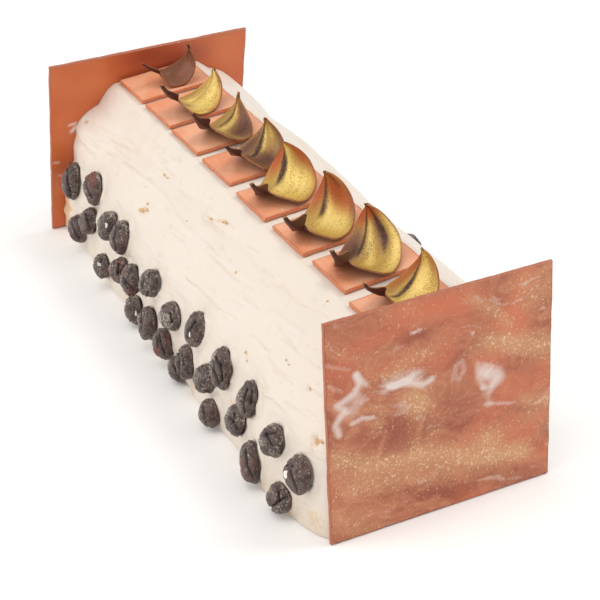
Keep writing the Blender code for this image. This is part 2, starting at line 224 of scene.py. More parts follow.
def make_piece(name, points, quads, triangles, material, slot, node=None, **attributes):
    """Put arrays of points and faces into a mesh, with its point attributes, and let it ride."""
    points = np.asarray(points, float).reshape(-1, 3)
    quads = np.asarray(quads, int).reshape(-1, 4)
    triangles = np.asarray(triangles, int).reshape(-1, 3)
    mesh = bpy.data.meshes.new(name)
    mesh.vertices.add(len(points))
    mesh.vertices.foreach_set("co", (points * MM).ravel())
    corners = np.concatenate((quads.ravel(), triangles.ravel()))
    mesh.loops.add(len(corners))
    mesh.loops.foreach_set("vertex_index", corners)
    starts = np.concatenate((np.arange(len(quads)) * 4, 4 * len(quads) + np.arange(len(triangles)) * 3))
    mesh.polygons.add(len(starts))
    mesh.polygons.foreach_set("loop_start", starts)
    mesh.update(calc_edges=True)
    for key, values in attributes.items():
        layer = mesh.attributes.new(key, "FLOAT", "POINT")
        layer.data.foreach_set("value", np.asarray(values, np.float32).ravel())
    mesh.materials.append(material)
    mesh.shade_smooth()
    piece = bpy.data.objects.new(name, mesh)
    bpy.context.scene.collection.objects.link(piece)
    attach(piece, BODY)
    if node:
        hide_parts(node)
    return piece


def grid_quads(rows, columns, first=0):
    """Faces of an open grid of rows by columns points, numbered row by row from first."""
    index = first + np.arange(rows * columns).reshape(rows, columns)
    return np.stack((index[:-1, :-1], index[1:, :-1], index[1:, 1:], index[:-1, 1:]), -1).reshape(-1, 4)


def border(rows, columns):
    """Numbers of a grid's outermost points, once round."""
    index = np.arange(rows * columns).reshape(rows, columns)
    return np.concatenate((index[0, :-1], index[:-1, -1], index[-1, :0:-1], index[:0:-1, 0]))


def between_loops(first, second):
    """Quads that join two closed loops of point numbers."""
    return np.stack((first, second, np.roll(second, -1), np.roll(first, -1)), -1)


def two_sided(top, bottom, rims=()):
    """Points and quads of a closed sheet: a top grid, a bottom grid and rim loops between them."""
    rows, columns = top.shape[:2]
    count = rows * columns
    edge = border(rows, columns)
    loops = [edge]
    points = [top.reshape(-1, 3), bottom.reshape(-1, 3)]
    start = 2 * count
    for rim in rims:
        points.append(rim)
        loops.append(start + np.arange(len(edge)))
        start += len(edge)
    loops.append(edge + count)
    sides = [between_loops(a, b) for a, b in zip(loops, loops[1:])]
    faces = [grid_quads(rows, columns), grid_quads(rows, columns, count)[:, ::-1], *sides]
    return np.concatenate(points), np.concatenate(faces)


def closed_rings(rings):
    """Points, quads and triangles of a closed surface from rings between two poles.  The first and
    the last ring are shrunk to one point each."""
    rows, columns = rings.shape[:2]
    inner = rings[1:-1].reshape(-1, 3)
    points = np.concatenate((rings[0].mean(0)[None], inner, rings[-1].mean(0)[None]))
    index = 1 + np.arange((rows - 2) * columns).reshape(rows - 2, columns)
    following = np.roll(index, -1, axis=1)
    quads = np.stack((index[:-1], index[1:], following[1:], following[:-1]), -1).reshape(-1, 4)
    first = np.stack((np.zeros(columns, int), index[0], following[0]), -1)
    last = np.stack((np.full(columns, len(points) - 1), following[-1], index[-1]), -1)
    return points, quads, np.concatenate((first, last))


def node_box(node):
    """Middle, half sizes and directions (columns) of a CAD node's own box, longest first, in mm:
    the directions are those in which its corner points spread most and least."""
    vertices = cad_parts[node].data.vertices
    points = np.empty(3 * len(vertices))
    vertices.foreach_get("co", points)
    points = np.unique(np.round(points.reshape(-1, 3) / MM, 4), axis=0)
    mean = points.mean(0)
    directions = np.linalg.eigh(np.cov((points - mean).T))[1][:, ::-1]
    local = (points - mean) @ directions
    middle = mean + directions @ ((local.max(0) + local.min(0)) / 2)
    return middle, (local.max(0) - local.min(0)) / 2, directions


# Log section ------------------------------------------------------------------------------------

def crest_y(x):
    return CREST_Y + CREST_DRIFT * x


def crest_height(x):
    return CREST_HEIGHT + CREST_RISE * MM * crest_y(x)


def half_width(x, side):
    """Half width of the log at the table, on the front (side -1) or the back (side +1)."""
    inset = END_ROUNDING * np.exp(-(PLATE_SPAN / 2 - x) / END_ROUNDING_REACH)
    if side < 0:
        wave = WAVE_DEPTH * np.sin(2 * math.pi * (x - WAVE_START) / WAVE_LENGTH)
        return FRONT_HALF_WIDTH + FRONT_FLARE * x + wave - inset
    hollow = sum(depth * bump((x - place) / reach) for place, reach, depth in BACK_HOLLOWS)
    return BACK_HALF_WIDTH - hollow - inset


def side_y(x, z, side):
    """Y of the log's surface at a height: a quarter of a superellipse on each side of the crest."""
    power = FRONT_POWER if side < 0 else BACK_POWER
    share = np.clip(z / crest_height(x), 0.0, 1.0)
    return crest_y(x) + side * half_width(x, side) * (1 - share ** power) ** (1 / power)


def end_face_x(z, lean, sign):
    return sign * (PLATE_SPAN / 2 - z * math.tan(lean) - 0.1)


def even_steps(side, count):
    """Values from 0 (foot) to 1 (crest) whose points lie evenly along the middle section's outline."""
    fine = np.linspace(0.0, 1.0, 2000)
    z = FOOT_HEIGHT + (crest_height(0.0) - FOOT_HEIGHT) * np.sin(fine * math.pi / 2)
    y = side_y(0.0, z, side)
    way = np.concatenate(([0.0], np.cumsum(np.hypot(np.diff(y), np.diff(z)))))
    return np.interp(np.linspace(0.0, way[-1], count), way, fine)


# Strokes ----------------------------------------------------------------------------------------

def stroke_field(a, b, strokes, value=0.0):
    """Brush strokes laid one after another on a surface with coordinates a and b.

    A stroke is (strength, reach in a, reach in b, points).  It fades as a bell curve with the distance
    to the nearest of 16 places on each of its legs.  A strength above 0 adds towards 1, one below 0
    takes towards 0.
    """
    value = np.full(a.shape, float(value))
    for strength, reach_a, reach_b, points in strokes:
        corners = np.array(points, float)
        share = np.linspace(0, len(corners) - 1, 16 * len(corners) - 15)
        nearest = np.full(a.shape, np.inf)
        for pa, pb in zip(np.interp(share, range(len(corners)), corners[:, 0]),
                          np.interp(share, range(len(corners)), corners[:, 1])):
            nearest = np.minimum(nearest, ((a - pa) / reach_a) ** 2 + ((b - pb) / reach_b) ** 2)
        cover = abs(strength) * np.exp(-nearest)
        value = value + (1 - value) * cover if strength > 0 else value * (1 - cover)
    return value


# Materials ----------------------------------------------------------------------------------------

def add_node(tree, kind, links, output=0, **settings):
    """Add a node, set its own settings, set or link its inputs, and give one of its outputs."""
    node = tree.nodes.new(kind)
    for key, value in settings.items():
        setattr(node, key, value)
    for socket, value in links.items():
        if isinstance(value, bpy.types.NodeSocket):
            tree.links.new(value, node.inputs[socket])
        else:
            node.inputs[socket].default_value = value
    return node.outputs[output]


def new_material(name, **shader_values):
    """An empty node material: gives it, its tree, its shader and the place on the piece."""
    material = bpy.data.materials.new(name)
    material.use_nodes = True
    tree = material.node_tree
    shader = tree.nodes["Principled BSDF"]
    for key, value in shader_values.items():
        shader.inputs[key.replace("_", " ")].default_value = value
    place = add_node(tree, "ShaderNodeTexCoord", {}, "Object")
    return material, tree, shader, place


def colour(code):
    return (*linear(code), 1.0)


def whipped_cream(settings):
    """Whipped cream: soft, light-scattering and barely glossy, so the ridges look round.  Tan sponge
    shows through where the coat is thin; a darker tan is painted shade along the knife's steps, in the
    scratches and towards the foot; fine grain breaks up the highlight."""
    material, tree, shader, place = new_material(
        "whipped_cream_coat", Roughness=0.5, Subsurface_Weight=0.15, Subsurface_Scale=1.2 * MM)
    shader.inputs["Subsurface Radius"].default_value = (1.0, 0.75, 0.5)
    clouds = add_node(tree, "ShaderNodeTexNoise", {"Vector": place, "Scale": 1 / (26 * MM), "Detail": 3.0})
    tint = add_node(tree, "ShaderNodeMix", {0: clouds, 6: colour("#E2D5C5"), 7: (*settings.cream, 1.0)},
                    2, data_type="RGBA")
    stain = add_node(tree, "ShaderNodeAttribute", {}, "Fac", attribute_name="stain")
    speck = add_node(tree, "ShaderNodeTexNoise", {"Vector": place, "Scale": 1 / (1.3 * MM), "Detail": 4.0})
    share = add_node(tree, "ShaderNodeMath", {0: stain, 1: speck}, operation="ADD")
    share = add_node(tree, "ShaderNodeMapRange", {0: share, 1: 0.75, 2: 1.35, 4: 0.85},
                     interpolation_type="SMOOTHSTEP")
    tint = add_node(tree, "ShaderNodeMix", {0: share, 6: tint, 7: colour("#D2AE80")}, 2, data_type="RGBA")
    # painted shade: a darker tan along the knife's steps, in the scratches and towards the foot
    crease = add_node(tree, "ShaderNodeAttribute", {}, "Fac", attribute_name="crease")
    tint = add_node(tree, "ShaderNodeMix", {0: crease, 6: tint, 7: colour("#C4A57F")}, 2, data_type="RGBA")
    tree.links.new(tint, shader.inputs["Base Color"])
    grain = add_node(tree, "ShaderNodeTexNoise", {"Vector": place, "Scale": 1 / (0.9 * MM), "Detail": 3.0})
    tree.links.new(add_node(tree, "ShaderNodeBump", {"Strength": 0.25, "Distance": 0.12 * MM,
                                                     "Height": grain}), shader.inputs["Normal"])
    return material


def sponge():
    """Sponge crumbs: dry, open and tan-orange, with painted shade darkening the pores."""
    material, tree, shader, place = new_material("sponge_crumb", Roughness=0.85)
    pores = add_node(tree, "ShaderNodeTexNoise", {"Vector": place, "Scale": 1 / (0.6 * MM), "Detail": 3.0})
    # painted shade: the noise that sinks the pores also darkens them
    tint = add_node(tree, "ShaderNodeMix", {0: pores, 6: colour("#C4935C"), 7: colour("#F0D3A8")}, 2,
                    data_type="RGBA")
    tree.links.new(tint, shader.inputs["Base Color"])
    tree.links.new(add_node(tree, "ShaderNodeBump", {"Strength": 0.8, "Distance": 0.3 * MM,
                                                     "Height": pores}), shader.inputs["Normal"])
    return material


def marbled_chocolate(settings):
    """Outer face of an end plate: satin milk chocolate laid on in overlapping washes of two close tints,
    with salmon and brown clouds, patches of tan dust with pale grains in them, and pearly streaks."""
    material, tree, shader, place = new_material("marbled_chocolate", Roughness=0.4)
    tone = add_node(tree, "ShaderNodeAttribute", {}, "Fac", attribute_name="tone")
    tint = add_node(tree, "ShaderNodeMix", {0: tone, 6: (*settings.plate, 1.0), 7: colour("#C98560")}, 2,
                    data_type="RGBA")
    grain = add_node(tree, "ShaderNodeTexNoise", {"Vector": place, "Scale": 1 / (1.0 * MM), "Detail": 2.0,
                                                  "Roughness": 0.6})
    grain = add_node(tree, "ShaderNodeMapRange", {0: grain, 1: 0.3, 2: 0.7})
    # name of the attribute, its colour, how much the grains break it up, where it starts, how soft it is
    for name, code, broken, start, soft in (("brown", "#93482F", 0.1, 0.05, 1.0),
                                            ("salmon", "#C96A45", 0.1, 0.05, 1.0),
                                            ("dust", "#C89468", 0.35, 0.2, 1.1),
                                            ("pearl", "#DFCDC4", 0.1, 0.2, 0.6),
                                            ("dust", "#DDB993", 3.0, 2.65, 0.9)):
        field = add_node(tree, "ShaderNodeAttribute", {}, "Fac", attribute_name=name)
        share = add_node(tree, "ShaderNodeMath", {0: grain, 1: broken, 2: field}, operation="MULTIPLY_ADD")
        share = add_node(tree, "ShaderNodeMapRange", {0: share, 1: start, 2: start + soft})
        tint = add_node(tree, "ShaderNodeMix", {0: share, 6: tint, 7: colour(code)}, 2, data_type="RGBA")
    tree.links.new(tint, shader.inputs["Base Color"])
    tree.links.new(add_node(tree, "ShaderNodeBump", {"Strength": 0.15, "Distance": 0.12 * MM,
                                                     "Height": grain}), shader.inputs["Normal"])
    return material


def milk_chocolate(name, main, second, third, roughness, scuffing):
    """Plain milk chocolate: satin, with slow clouds of two tints, another tint where it was cut, pale
    scuffs, and tiny air bubbles that show as soft dots.  On the end plates' inner faces the cut tint is
    painted light and a darker brown is painted shade."""
    material, tree, shader, place = new_material(name, Roughness=roughness)
    cloud = add_node(tree, "ShaderNodeTexNoise", {"Vector": place, "Scale": 1 / (14 * MM), "Detail": 4.0})
    share = add_node(tree, "ShaderNodeMapRange", {0: cloud, 1: 0.35, 2: 0.65},
                     interpolation_type="SMOOTHSTEP")
    tint = add_node(tree, "ShaderNodeMix", {0: share, 6: main, 7: colour(second)}, 2, data_type="RGBA")
    # cut: the tiles' cut edges, and painted light on the plates' inner faces
    cut = add_node(tree, "ShaderNodeAttribute", {}, "Fac", attribute_name="cut")
    tint = add_node(tree, "ShaderNodeMix", {0: cut, 6: tint, 7: colour(third)}, 2, data_type="RGBA")
    # brown: painted shade on the plates' inner faces, none on the tiles
    brown = add_node(tree, "ShaderNodeAttribute", {}, "Fac", attribute_name="brown")
    tint = add_node(tree, "ShaderNodeMix", {0: brown, 6: tint, 7: colour("#98452C")}, 2, data_type="RGBA")
    smear = add_node(tree, "ShaderNodeAttribute", {}, "Fac", attribute_name="smear")
    tint = add_node(tree, "ShaderNodeMix", {0: smear, 6: tint, 7: colour("#EBD9CB")}, 2, data_type="RGBA")
    scuff = add_node(tree, "ShaderNodeTexNoise", {"Vector": place, "Scale": 1 / (0.8 * MM), "Detail": 4.0,
                                                  "Roughness": 0.75})
    share = add_node(tree, "ShaderNodeMapRange", {0: scuff, 1: 0.54, 2: 0.68, 4: scuffing},
                     interpolation_type="SMOOTHSTEP")
    tint = add_node(tree, "ShaderNodeMix", {0: share, 6: tint, 7: colour("#E8BFA6")}, 2, data_type="RGBA")
    bubble = add_node(tree, "ShaderNodeTexVoronoi", {"Vector": place, "Scale": 1 / (2.6 * MM)})
    bubble = add_node(tree, "ShaderNodeMapRange", {0: bubble, 1: 0.10, 2: 0.22},
                      interpolation_type="SMOOTHSTEP")
    tree.links.new(tint, shader.inputs["Base Color"])
    tree.links.new(add_node(tree, "ShaderNodeBump", {"Strength": 0.35, "Distance": 0.15 * MM,
                                                     "Height": bubble}), shader.inputs["Normal"])
    return material


def gilded_chocolate():
    """Petals: thin dark chocolate brushed with gold dust and rust-red cocoa butter.  The dust lies in
    fine grains along the brush strokes and glints a little; bare chocolate is mauve-brown.  The
    brightest gold is a painted highlight, and a dark brown is painted shade in the crease, at the tip
    and on the far lobe."""
    material, tree, shader, place = new_material("gilded_chocolate", Roughness=0.45, Metallic=0.3)
    strokes = add_node(tree, "ShaderNodeAttribute", {}, "Vector", attribute_name="strokes")
    streak = add_node(tree, "ShaderNodeTexNoise", {"Vector": strokes, "Scale": 1.0, "Detail": 2.0})
    speck = add_node(tree, "ShaderNodeTexNoise", {"Vector": place, "Scale": 1 / (0.6 * MM), "Detail": 3.0,
                                                  "Roughness": 0.7})
    both = add_node(tree, "ShaderNodeMix", {0: 0.75, 2: streak, 3: speck}, data_type="FLOAT")
    both = add_node(tree, "ShaderNodeMapRange", {0: both, 1: 0.3, 2: 0.7})
    tint = add_node(tree, "ShaderNodeMix", {0: both, 6: colour("#7A552E"), 7: colour("#AD7F46")}, 2,
                    data_type="RGBA")
    dust = add_node(tree, "ShaderNodeMix", {0: both, 6: colour("#8F6A26"), 7: colour("#F6CF68")}, 2,
                    data_type="RGBA")
    # name of the attribute, its colour, how much the grains break it up, where it starts, how soft it is
    for name, tone, broken, start, soft in (
            # the second gold entry is a painted highlight where the gold strokes are strongest
            ("gold_and_highlight", dust, 0.5, 0.35, 0.8), ("gold_and_highlight", colour("#F8DC84"), 0.6, 0.95, 0.6),
            ("bare", colour("#6C432F"), 1.0, 0.6, 0.8), ("rust", colour("#A64C14"), 0.7, 0.45, 0.8),
            # painted shade: dark brown in the crease beside the midrib, at the tip and on the far lobe
            ("painted_shade", colour("#40241A"), 0.8, 0.5, 0.8)):
        field = add_node(tree, "ShaderNodeAttribute", {}, "Fac", attribute_name=name)
        share = add_node(tree, "ShaderNodeMath", {0: both, 1: broken, 2: field}, operation="MULTIPLY_ADD")
        share = add_node(tree, "ShaderNodeMapRange", {0: share, 1: start, 2: start + soft},
                         interpolation_type="SMOOTHSTEP")
        tint = add_node(tree, "ShaderNodeMix", {0: share, 6: tint, 7: tone}, 2, data_type="RGBA")
    for name, code in (("under", "#4C2419"), ("rim", "#A8603C")):
        field = add_node(tree, "ShaderNodeAttribute", {}, "Fac", attribute_name=name)
        tint = add_node(tree, "ShaderNodeMix", {0: field, 6: tint, 7: colour(code)}, 2, data_type="RGBA")
    tree.links.new(tint, shader.inputs["Base Color"])
    tree.links.new(add_node(tree, "ShaderNodeBump", {"Strength": 0.35, "Distance": 0.12 * MM,
                                                     "Height": both}), shader.inputs["Normal"])
    return material


def dark_drop(settings):
    """Drops: dark chocolate that stood a while, so it is matte and mottled, with pale grains of bloom
    gathered in patches and along the edges, near black in grooves and pits as painted shade, and some
    cream on it.
    The grains are drawn about twice their size so that they stay visible."""
    material, tree, shader, place = new_material("dark_chocolate_bloomed", Roughness=0.42)
    cloud = add_node(tree, "ShaderNodeTexNoise", {"Vector": place, "Scale": 1 / (2.6 * MM), "Detail": 3.0})
    share = add_node(tree, "ShaderNodeMapRange", {0: cloud, 1: 0.36, 2: 0.66},
                     interpolation_type="SMOOTHSTEP")
    tint = add_node(tree, "ShaderNodeMix", {0: share, 6: (*settings.drop, 1.0), 7: colour("#604D47")}, 2,
                    data_type="RGBA")
    speck = add_node(tree, "ShaderNodeTexNoise", {"Vector": place, "Scale": 1 / (0.85 * MM), "Detail": 2.0,
                                                  "Roughness": 0.65})
    # name of the attribute, its colour, how much the grains break it up, where it starts, how soft it is
    for name, code, broken, start, soft in (("warm", "#70392D", 0.8, 0.75, 0.6),
                                            ("bloom", "#A89A8F", 4.0, 2.35, 0.9),
                                            # pit: painted shade, near black in the grooves and pinholes
                                            ("pit", "#170B09", 0.2, 0.2, 0.7),
                                            ("fleck", "#EDE4DC", 0.0, 0.1, 0.6)):
        field = add_node(tree, "ShaderNodeAttribute", {}, "Fac", attribute_name=name)
        share = add_node(tree, "ShaderNodeMath", {0: speck, 1: broken, 2: field}, operation="MULTIPLY_ADD")
        share = add_node(tree, "ShaderNodeMapRange", {0: share, 1: start, 2: start + soft},
                         interpolation_type="SMOOTHSTEP")
        tint = add_node(tree, "ShaderNodeMix", {0: share, 6: tint, 7: colour(code)}, 2, data_type="RGBA")
    tree.links.new(tint, shader.inputs["Base Color"])
    tree.links.new(add_node(tree, "ShaderNodeBump", {"Strength": 0.6, "Distance": 0.2 * MM,
                                                     "Height": speck}), shader.inputs["Normal"])
    return material


def studio_floor(settings):
    """Seamless paper: near white and matt, with a faint grain."""
    material, tree, shader, place = new_material("studio_paper", Roughness=0.9)
    grain = add_node(tree, "ShaderNodeTexNoise", {"Vector": place, "Scale": 1 / (30 * MM), "Detail": 2.0})
    tint = add_node(tree, "ShaderNodeMix", {0: grain, 6: colour("#F8F7F5"), 7: (*settings.floor, 1.0)}, 2,
                    data_type="RGBA")
    tree.links.new(tint, shader.inputs["Base Color"])
    return material


# Cream coat ---------------------------------------------------------------------------------------

def tile_plane(number, face):
    """A point on a tile's lower (face -1) or upper (face +1) side, and the direction square to it."""
    middle, half, directions = node_box(f"tile_{number}")
    normal = directions[:, 2] * np.sign(directions[2, 2])
    return middle + face * half[2] * normal, normal


def plane_height(plane, x, y):
    point, normal = plane
    return point[2] - (normal[0] * (x - point[0]) + normal[1] * (y - point[1])) / normal[2]


def coat_grid():
    """Points of the plain coat, station by station: foot, front, crest, back, foot."""
    front, back = even_steps(-1, COAT_FRONT_STEPS), even_steps(1, COAT_BACK_STEPS)[-2::-1]
    station = np.linspace(0.0, 1.0, COAT_STATIONS)[:, None]
    x = (station - 0.5) * PLATE_SPAN
    rise = crest_height(x) - FOOT_HEIGHT
    curl = np.linspace(0.0, 1.0, COAT_FOOT_STEPS, endpoint=False)[None, :] * math.pi / 2
    parts = []
    for side, steps in ((-1, front), (1, back)):
        z = FOOT_HEIGHT + rise * np.sin(steps * math.pi / 2)[None, :]
        foot = side_y(x, FOOT_HEIGHT, side) - side * FOOT_INSET * (1 - np.sin(curl))
        rows = [(foot, FOOT_HEIGHT * (1 - np.cos(curl)) + 0 * x), (side_y(x, z, side), z)]
        if side > 0:
            rows = [(rows[1][0], rows[1][1]), (rows[0][0][:, ::-1], rows[0][1][:, ::-1])]
        parts += rows
    y = np.concatenate([part[0] for part in parts], axis=1)
    z = np.concatenate([part[1] for part in parts], axis=1)
    near, far = end_face_x(z, NEAR_LEAN, 1), end_face_x(z, FAR_LEAN, -1)
    return np.stack((far + station * (near - far), y, z), -1)


def under_tiles(points):
    """Level the coat under the row of tiles, so that each tile's lower side lies on cream."""
    x, y, z = points[..., 0], points[..., 1], points[..., 2]
    planes = [tile_plane(number, -1) for number in range(1, 9)]
    middles = np.array([plane[0] for plane in planes])
    level = np.interp(x, middles[:, 0], [plane_height(plane, 0, 0) for plane in planes])
    slope = (plane_height(planes[0], 0, 1) - plane_height(planes[0], 0, 0))
    across = y - np.interp(x, middles[:, 0], middles[:, 1])
    share = 1 - smooth_step((np.abs(across) - TILE_MARGIN) / TILE_SHOULDER)
    points[..., 2] = z + share * np.maximum(level + slope * y - 0.3 - z, 0)
    return points


def knife_relief(x, way):
    """Height of the palette knife's ridges.

    Along a ridge's line the coat steps up by its height over about half a millimetre, then sinks back
    over its reach; the step fades at both ends and wanders a little.
    """
    relief, step_shadow_line = np.zeros(x.shape), np.zeros(x.shape)
    for number, (line, height, reach) in enumerate(KNIFE_RIDGES):
        corners = np.array(line, float)
        wander = 0.35 * noise(x / 7, way * 0 + number, 5) + 0.15 * noise(x / 1.9, way * 0 + number, 6)
        beyond = way - np.interp(x, corners[:, 0], corners[:, 1]) - wander
        ends = smooth_step((x - corners[0, 0]) / 5) * smooth_step((corners[-1, 0] - x) / 5)
        ends = ends * (0.75 + 0.35 * noise(x / 5, way * 0, 20 + number))
        side = math.copysign(1.0, height)
        from_step = side * beyond
        rise = 1 / (1 + np.exp(-np.clip(from_step / 0.28, -30, 30)))
        relief += abs(height) * ends * rise * np.exp(-np.maximum(from_step, 0) / reach)
        # painted shadow: a dark line along each step whose upper side stands proud
        step_shadow_line = np.maximum(step_shadow_line, abs(height) * ends * bump(beyond / 0.5) * (side > 0))
    return relief, step_shadow_line


def drop_places():
    """Middle, half sizes and directions of every drop: those of the solids, then the extra ones.

    The directions are level, upright and outwards; the half sizes go with them.
    """
    places = []
    names = [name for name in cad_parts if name.startswith("drop_")]
    for name in sorted(names, key=lambda item: ("back" in item, item)):
        middle, half, directions = node_box(name)
        side = 1 if "back" in name else -1
        outward = directions[:, 2] * side * np.sign(directions[1, 2])
        upright = directions[:, int(abs(directions[2, 1]) > abs(directions[2, 0]))]
        if abs(half[0] - half[1]) < 0.3:
            upright = np.array((0.0, 0.0, 1.0)) - outward * outward[2]
        upright = upright * np.sign(upright[2]) / np.linalg.norm(upright)
        level = np.cross(upright, outward) * -side
        points = np.array([corner.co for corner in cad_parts[name].data.vertices]) / MM - middle
        sizes = [np.abs(points @ way).max() for way in (level, upright, outward)]
        places.append((name, side, middle, sizes, (level, upright, outward)))
    for number, (x, z, long_axis, short_axis, lean) in enumerate(EXTRA_BACK_DROPS, 1):
        slope_z = side_y(x, z + 0.5, 1) - side_y(x, z - 0.5, 1)
        slope_x = side_y(x + 0.5, z, 1) - side_y(x - 0.5, z, 1)
        outward = unit(np.array((-slope_x, 1.0, -slope_z)))
        upright = unit(np.array((0.0, 0.0, 1.0)) - outward * outward[2])
        level = np.cross(outward, upright)
        turn = math.radians(lean)
        upright, level = (upright * math.cos(turn) + level * math.sin(turn),
                          level * math.cos(turn) - upright * math.sin(turn))
        middle = np.array((x, side_y(x, z, 1), z)) + outward * 3.8
        places.append((f"extra_{number}", 1, middle, [short_axis / 2, long_axis / 2, 3.5],
                       (level, upright, outward)))
    return places


def around_drops(points):
    """Cream pushed up in a rim round every drop, and in a soft furrow outside it."""
    relief = np.zeros(points.shape[:2])
    for number, (name, side, middle, half, directions) in enumerate(drop_places()):
        offset = points - middle
        a, b, c = (offset @ way for way in directions)
        radius = np.hypot(a / half[0], b / half[1]) + (np.abs(c) > 9) * 9
        angle = np.arctan2(b, a)
        uneven = 0.6 + 0.5 * noise(angle * 1.3 + 9 * number, radius * 0, 31)
        relief += uneven * (1.3 * bump((radius - 1.02) / 0.16) - 0.3 * bump((radius - 1.45) / 0.2))
        relief -= 1.5 * smooth_step((0.92 - radius) / 0.3)
    return relief


def build_coat(settings):
    """The coat follows the log's section, then moves along its own normals by the knife's ridges,
    long low furrows, slow lumps, rims round the drops and small pits."""
    points = under_tiles(coat_grid())
    normals = grid_normals(points)
    outward = np.sign((normals[..., 1] * (points[..., 1] - CREST_Y) + normals[..., 2]).mean())
    normals *= outward
    way = np.cumsum(np.linalg.norm(np.diff(points, axis=1, prepend=points[:, :1]), axis=-1), axis=1)
    x = points[..., 0]
    relief, step_shadow_line = knife_relief(x, way)
    relief *= 2.0 * settings.ridge_height
    furrow = 0.20 * fractal(x / 34 + 3 * noise(x / 60, way / 25, 3), way / 2.6, 3, 1)
    lumps = 0.5 * fractal(x / 15, way / 11, 3, 2) + 0.05 * fractal(x / 2.2, way / 1.7, 2, 4)
    foot = smooth_step(way / 6) * smooth_step((way.max(1)[:, None] - way) / 6)
    far_end = smooth_step((-96 - x) / 28)
    shoulder = far_end * np.exp(-((way - 57) / 13) ** 2) * (1 + 0.25 * noise(way / 5, x / 9, 35))
    crest = np.abs(points[..., 1] - np.interp(x, (-110, 110), (1.9, -1.7)))
    free = smooth_step((crest - 16.5) / 3) * foot
    relief = (relief + furrow + lumps + 5.0 * shoulder) * free + around_drops(points) * foot
    relief += 0.9 * noise(way / 3.5, 0 * x + 7, 36) * smooth_step((-126 - x) / 6) * free
    stain = np.zeros(x.shape)
    for place, height, reach, strength in STAINS:
        broken = 1 + 0.5 * noise(x / 2.5, way / 2.5, 17)
        stain = np.maximum(stain, strength * bump(np.hypot(x - place, way - height) / (reach * broken)))
    # fine scratches along the knife's way, kept only in scattered patches
    scratches = bump(fractal(x / 34 + 3, (way - 0.1 * x) / 2.6, 2, 91) / 0.06)
    scratches *= smooth_step((fractal(x / 16, way / 5, 2, 93) - 0.05) / 0.15) * free
    relief -= 0.3 * scratches
    # the scratches are also tinted darker, as painted shade in them
    step_shadow_line = np.maximum(step_shadow_line, 0.35 * scratches)
    # painted shade: darker tan towards the foot, stronger towards the near end
    foot_shade = 0.28 * smooth_step((20 - way) / 20) * (0.4 + 0.6 * smooth_step((x - 40) / 60))
    for place, height, radius in PITS:
        relief -= 0.9 * radius * bump(np.hypot(x - place, way - height) / radius)
    moved = points + normals * relief[..., None]
    moved[..., 2] = np.maximum(moved[..., 2], 0.0)
    lowest_x = end_face_x(moved[..., 2], FAR_LEAN, -1)
    moved[..., 0] = np.clip(moved[..., 0], lowest_x, end_face_x(moved[..., 2], NEAR_LEAN, 1))
    rows, columns = moved.shape[:2]
    quads = grid_quads(rows, columns)
    index = np.arange(rows * columns).reshape(rows, columns)
    under = np.stack((index[:-1, -1], index[1:, -1], index[1:, 0], index[:-1, 0]), -1)
    centres = np.array((moved[0].mean(0), moved[-1].mean(0)))
    count = rows * columns
    caps = [np.stack((np.full(columns, count), index[0], np.roll(index[0], -1)), -1),
            np.stack((np.full(columns, count + 1), np.roll(index[-1], -1), index[-1]), -1)]
    # the crease attribute is painted shade: step shadow lines, scratches and the darker foot
    coat = make_piece(
        "cream_coat", np.concatenate((moved.reshape(-1, 3), centres)), np.concatenate((quads, under)),
        np.concatenate(caps), whipped_cream(settings), "whipped_cream", "cream_log",
        stain=np.append(stain, (0.3, 0.3)), crease=np.append(np.clip(step_shadow_line * 0.5, 0, 0.35) + foot_shade,
                                                             (0, 0)))
    return coat, moved, normals, way


def blob(place, size, seed, flat):
    """A lumpy crumb: a sphere on 9 rings of 12 points, squashed and pushed in and out by noise."""
    polar = np.linspace(0, math.pi, 9)[:, None]
    turn = np.linspace(0, 2 * math.pi, 12, endpoint=False)[None, :]
    shape = np.stack((np.sin(polar) * np.cos(turn), np.sin(polar) * np.sin(turn),
                      np.cos(polar) + 0 * turn), -1)
    lumpy = 1 + 0.6 * noise(shape[..., 0] * 1.7 + seed, shape[..., 1] * 1.7 + shape[..., 2], seed)
    return closed_rings(place + shape * lumpy[..., None] * np.array((size, size * 0.8, size * flat)))


def join_closed(pieces):
    """One set of points, quads and triangles from several."""
    starts = np.cumsum([0] + [len(piece[0]) for piece in pieces[:-1]])
    return (np.concatenate([piece[0] for piece in pieces]),
            np.concatenate([piece[1] + start for piece, start in zip(pieces, starts)]),
            np.concatenate([piece[2] + start for piece, start in zip(pieces, starts)]))


def build_crumbs(coat, normals, way):
    """Sponge crumbs stuck in the cream, each sunk by a third."""
    pieces = []
    for number, (x, height, size) in enumerate(CRUMBS):
        row = int(np.argmin(np.abs(coat[:, 100, 0] - x)))
        column = int(np.argmin(np.abs(way[row] - height)))
        pieces.append(blob(coat[row, column] + 0.15 * size * normals[row, column], size * 0.75, number, 0.4))
    make_piece("sponge_crumbs", *join_closed(pieces), sponge(), "whipped_cream")


# Plates and tiles ---------------------------------------------------------------------------------

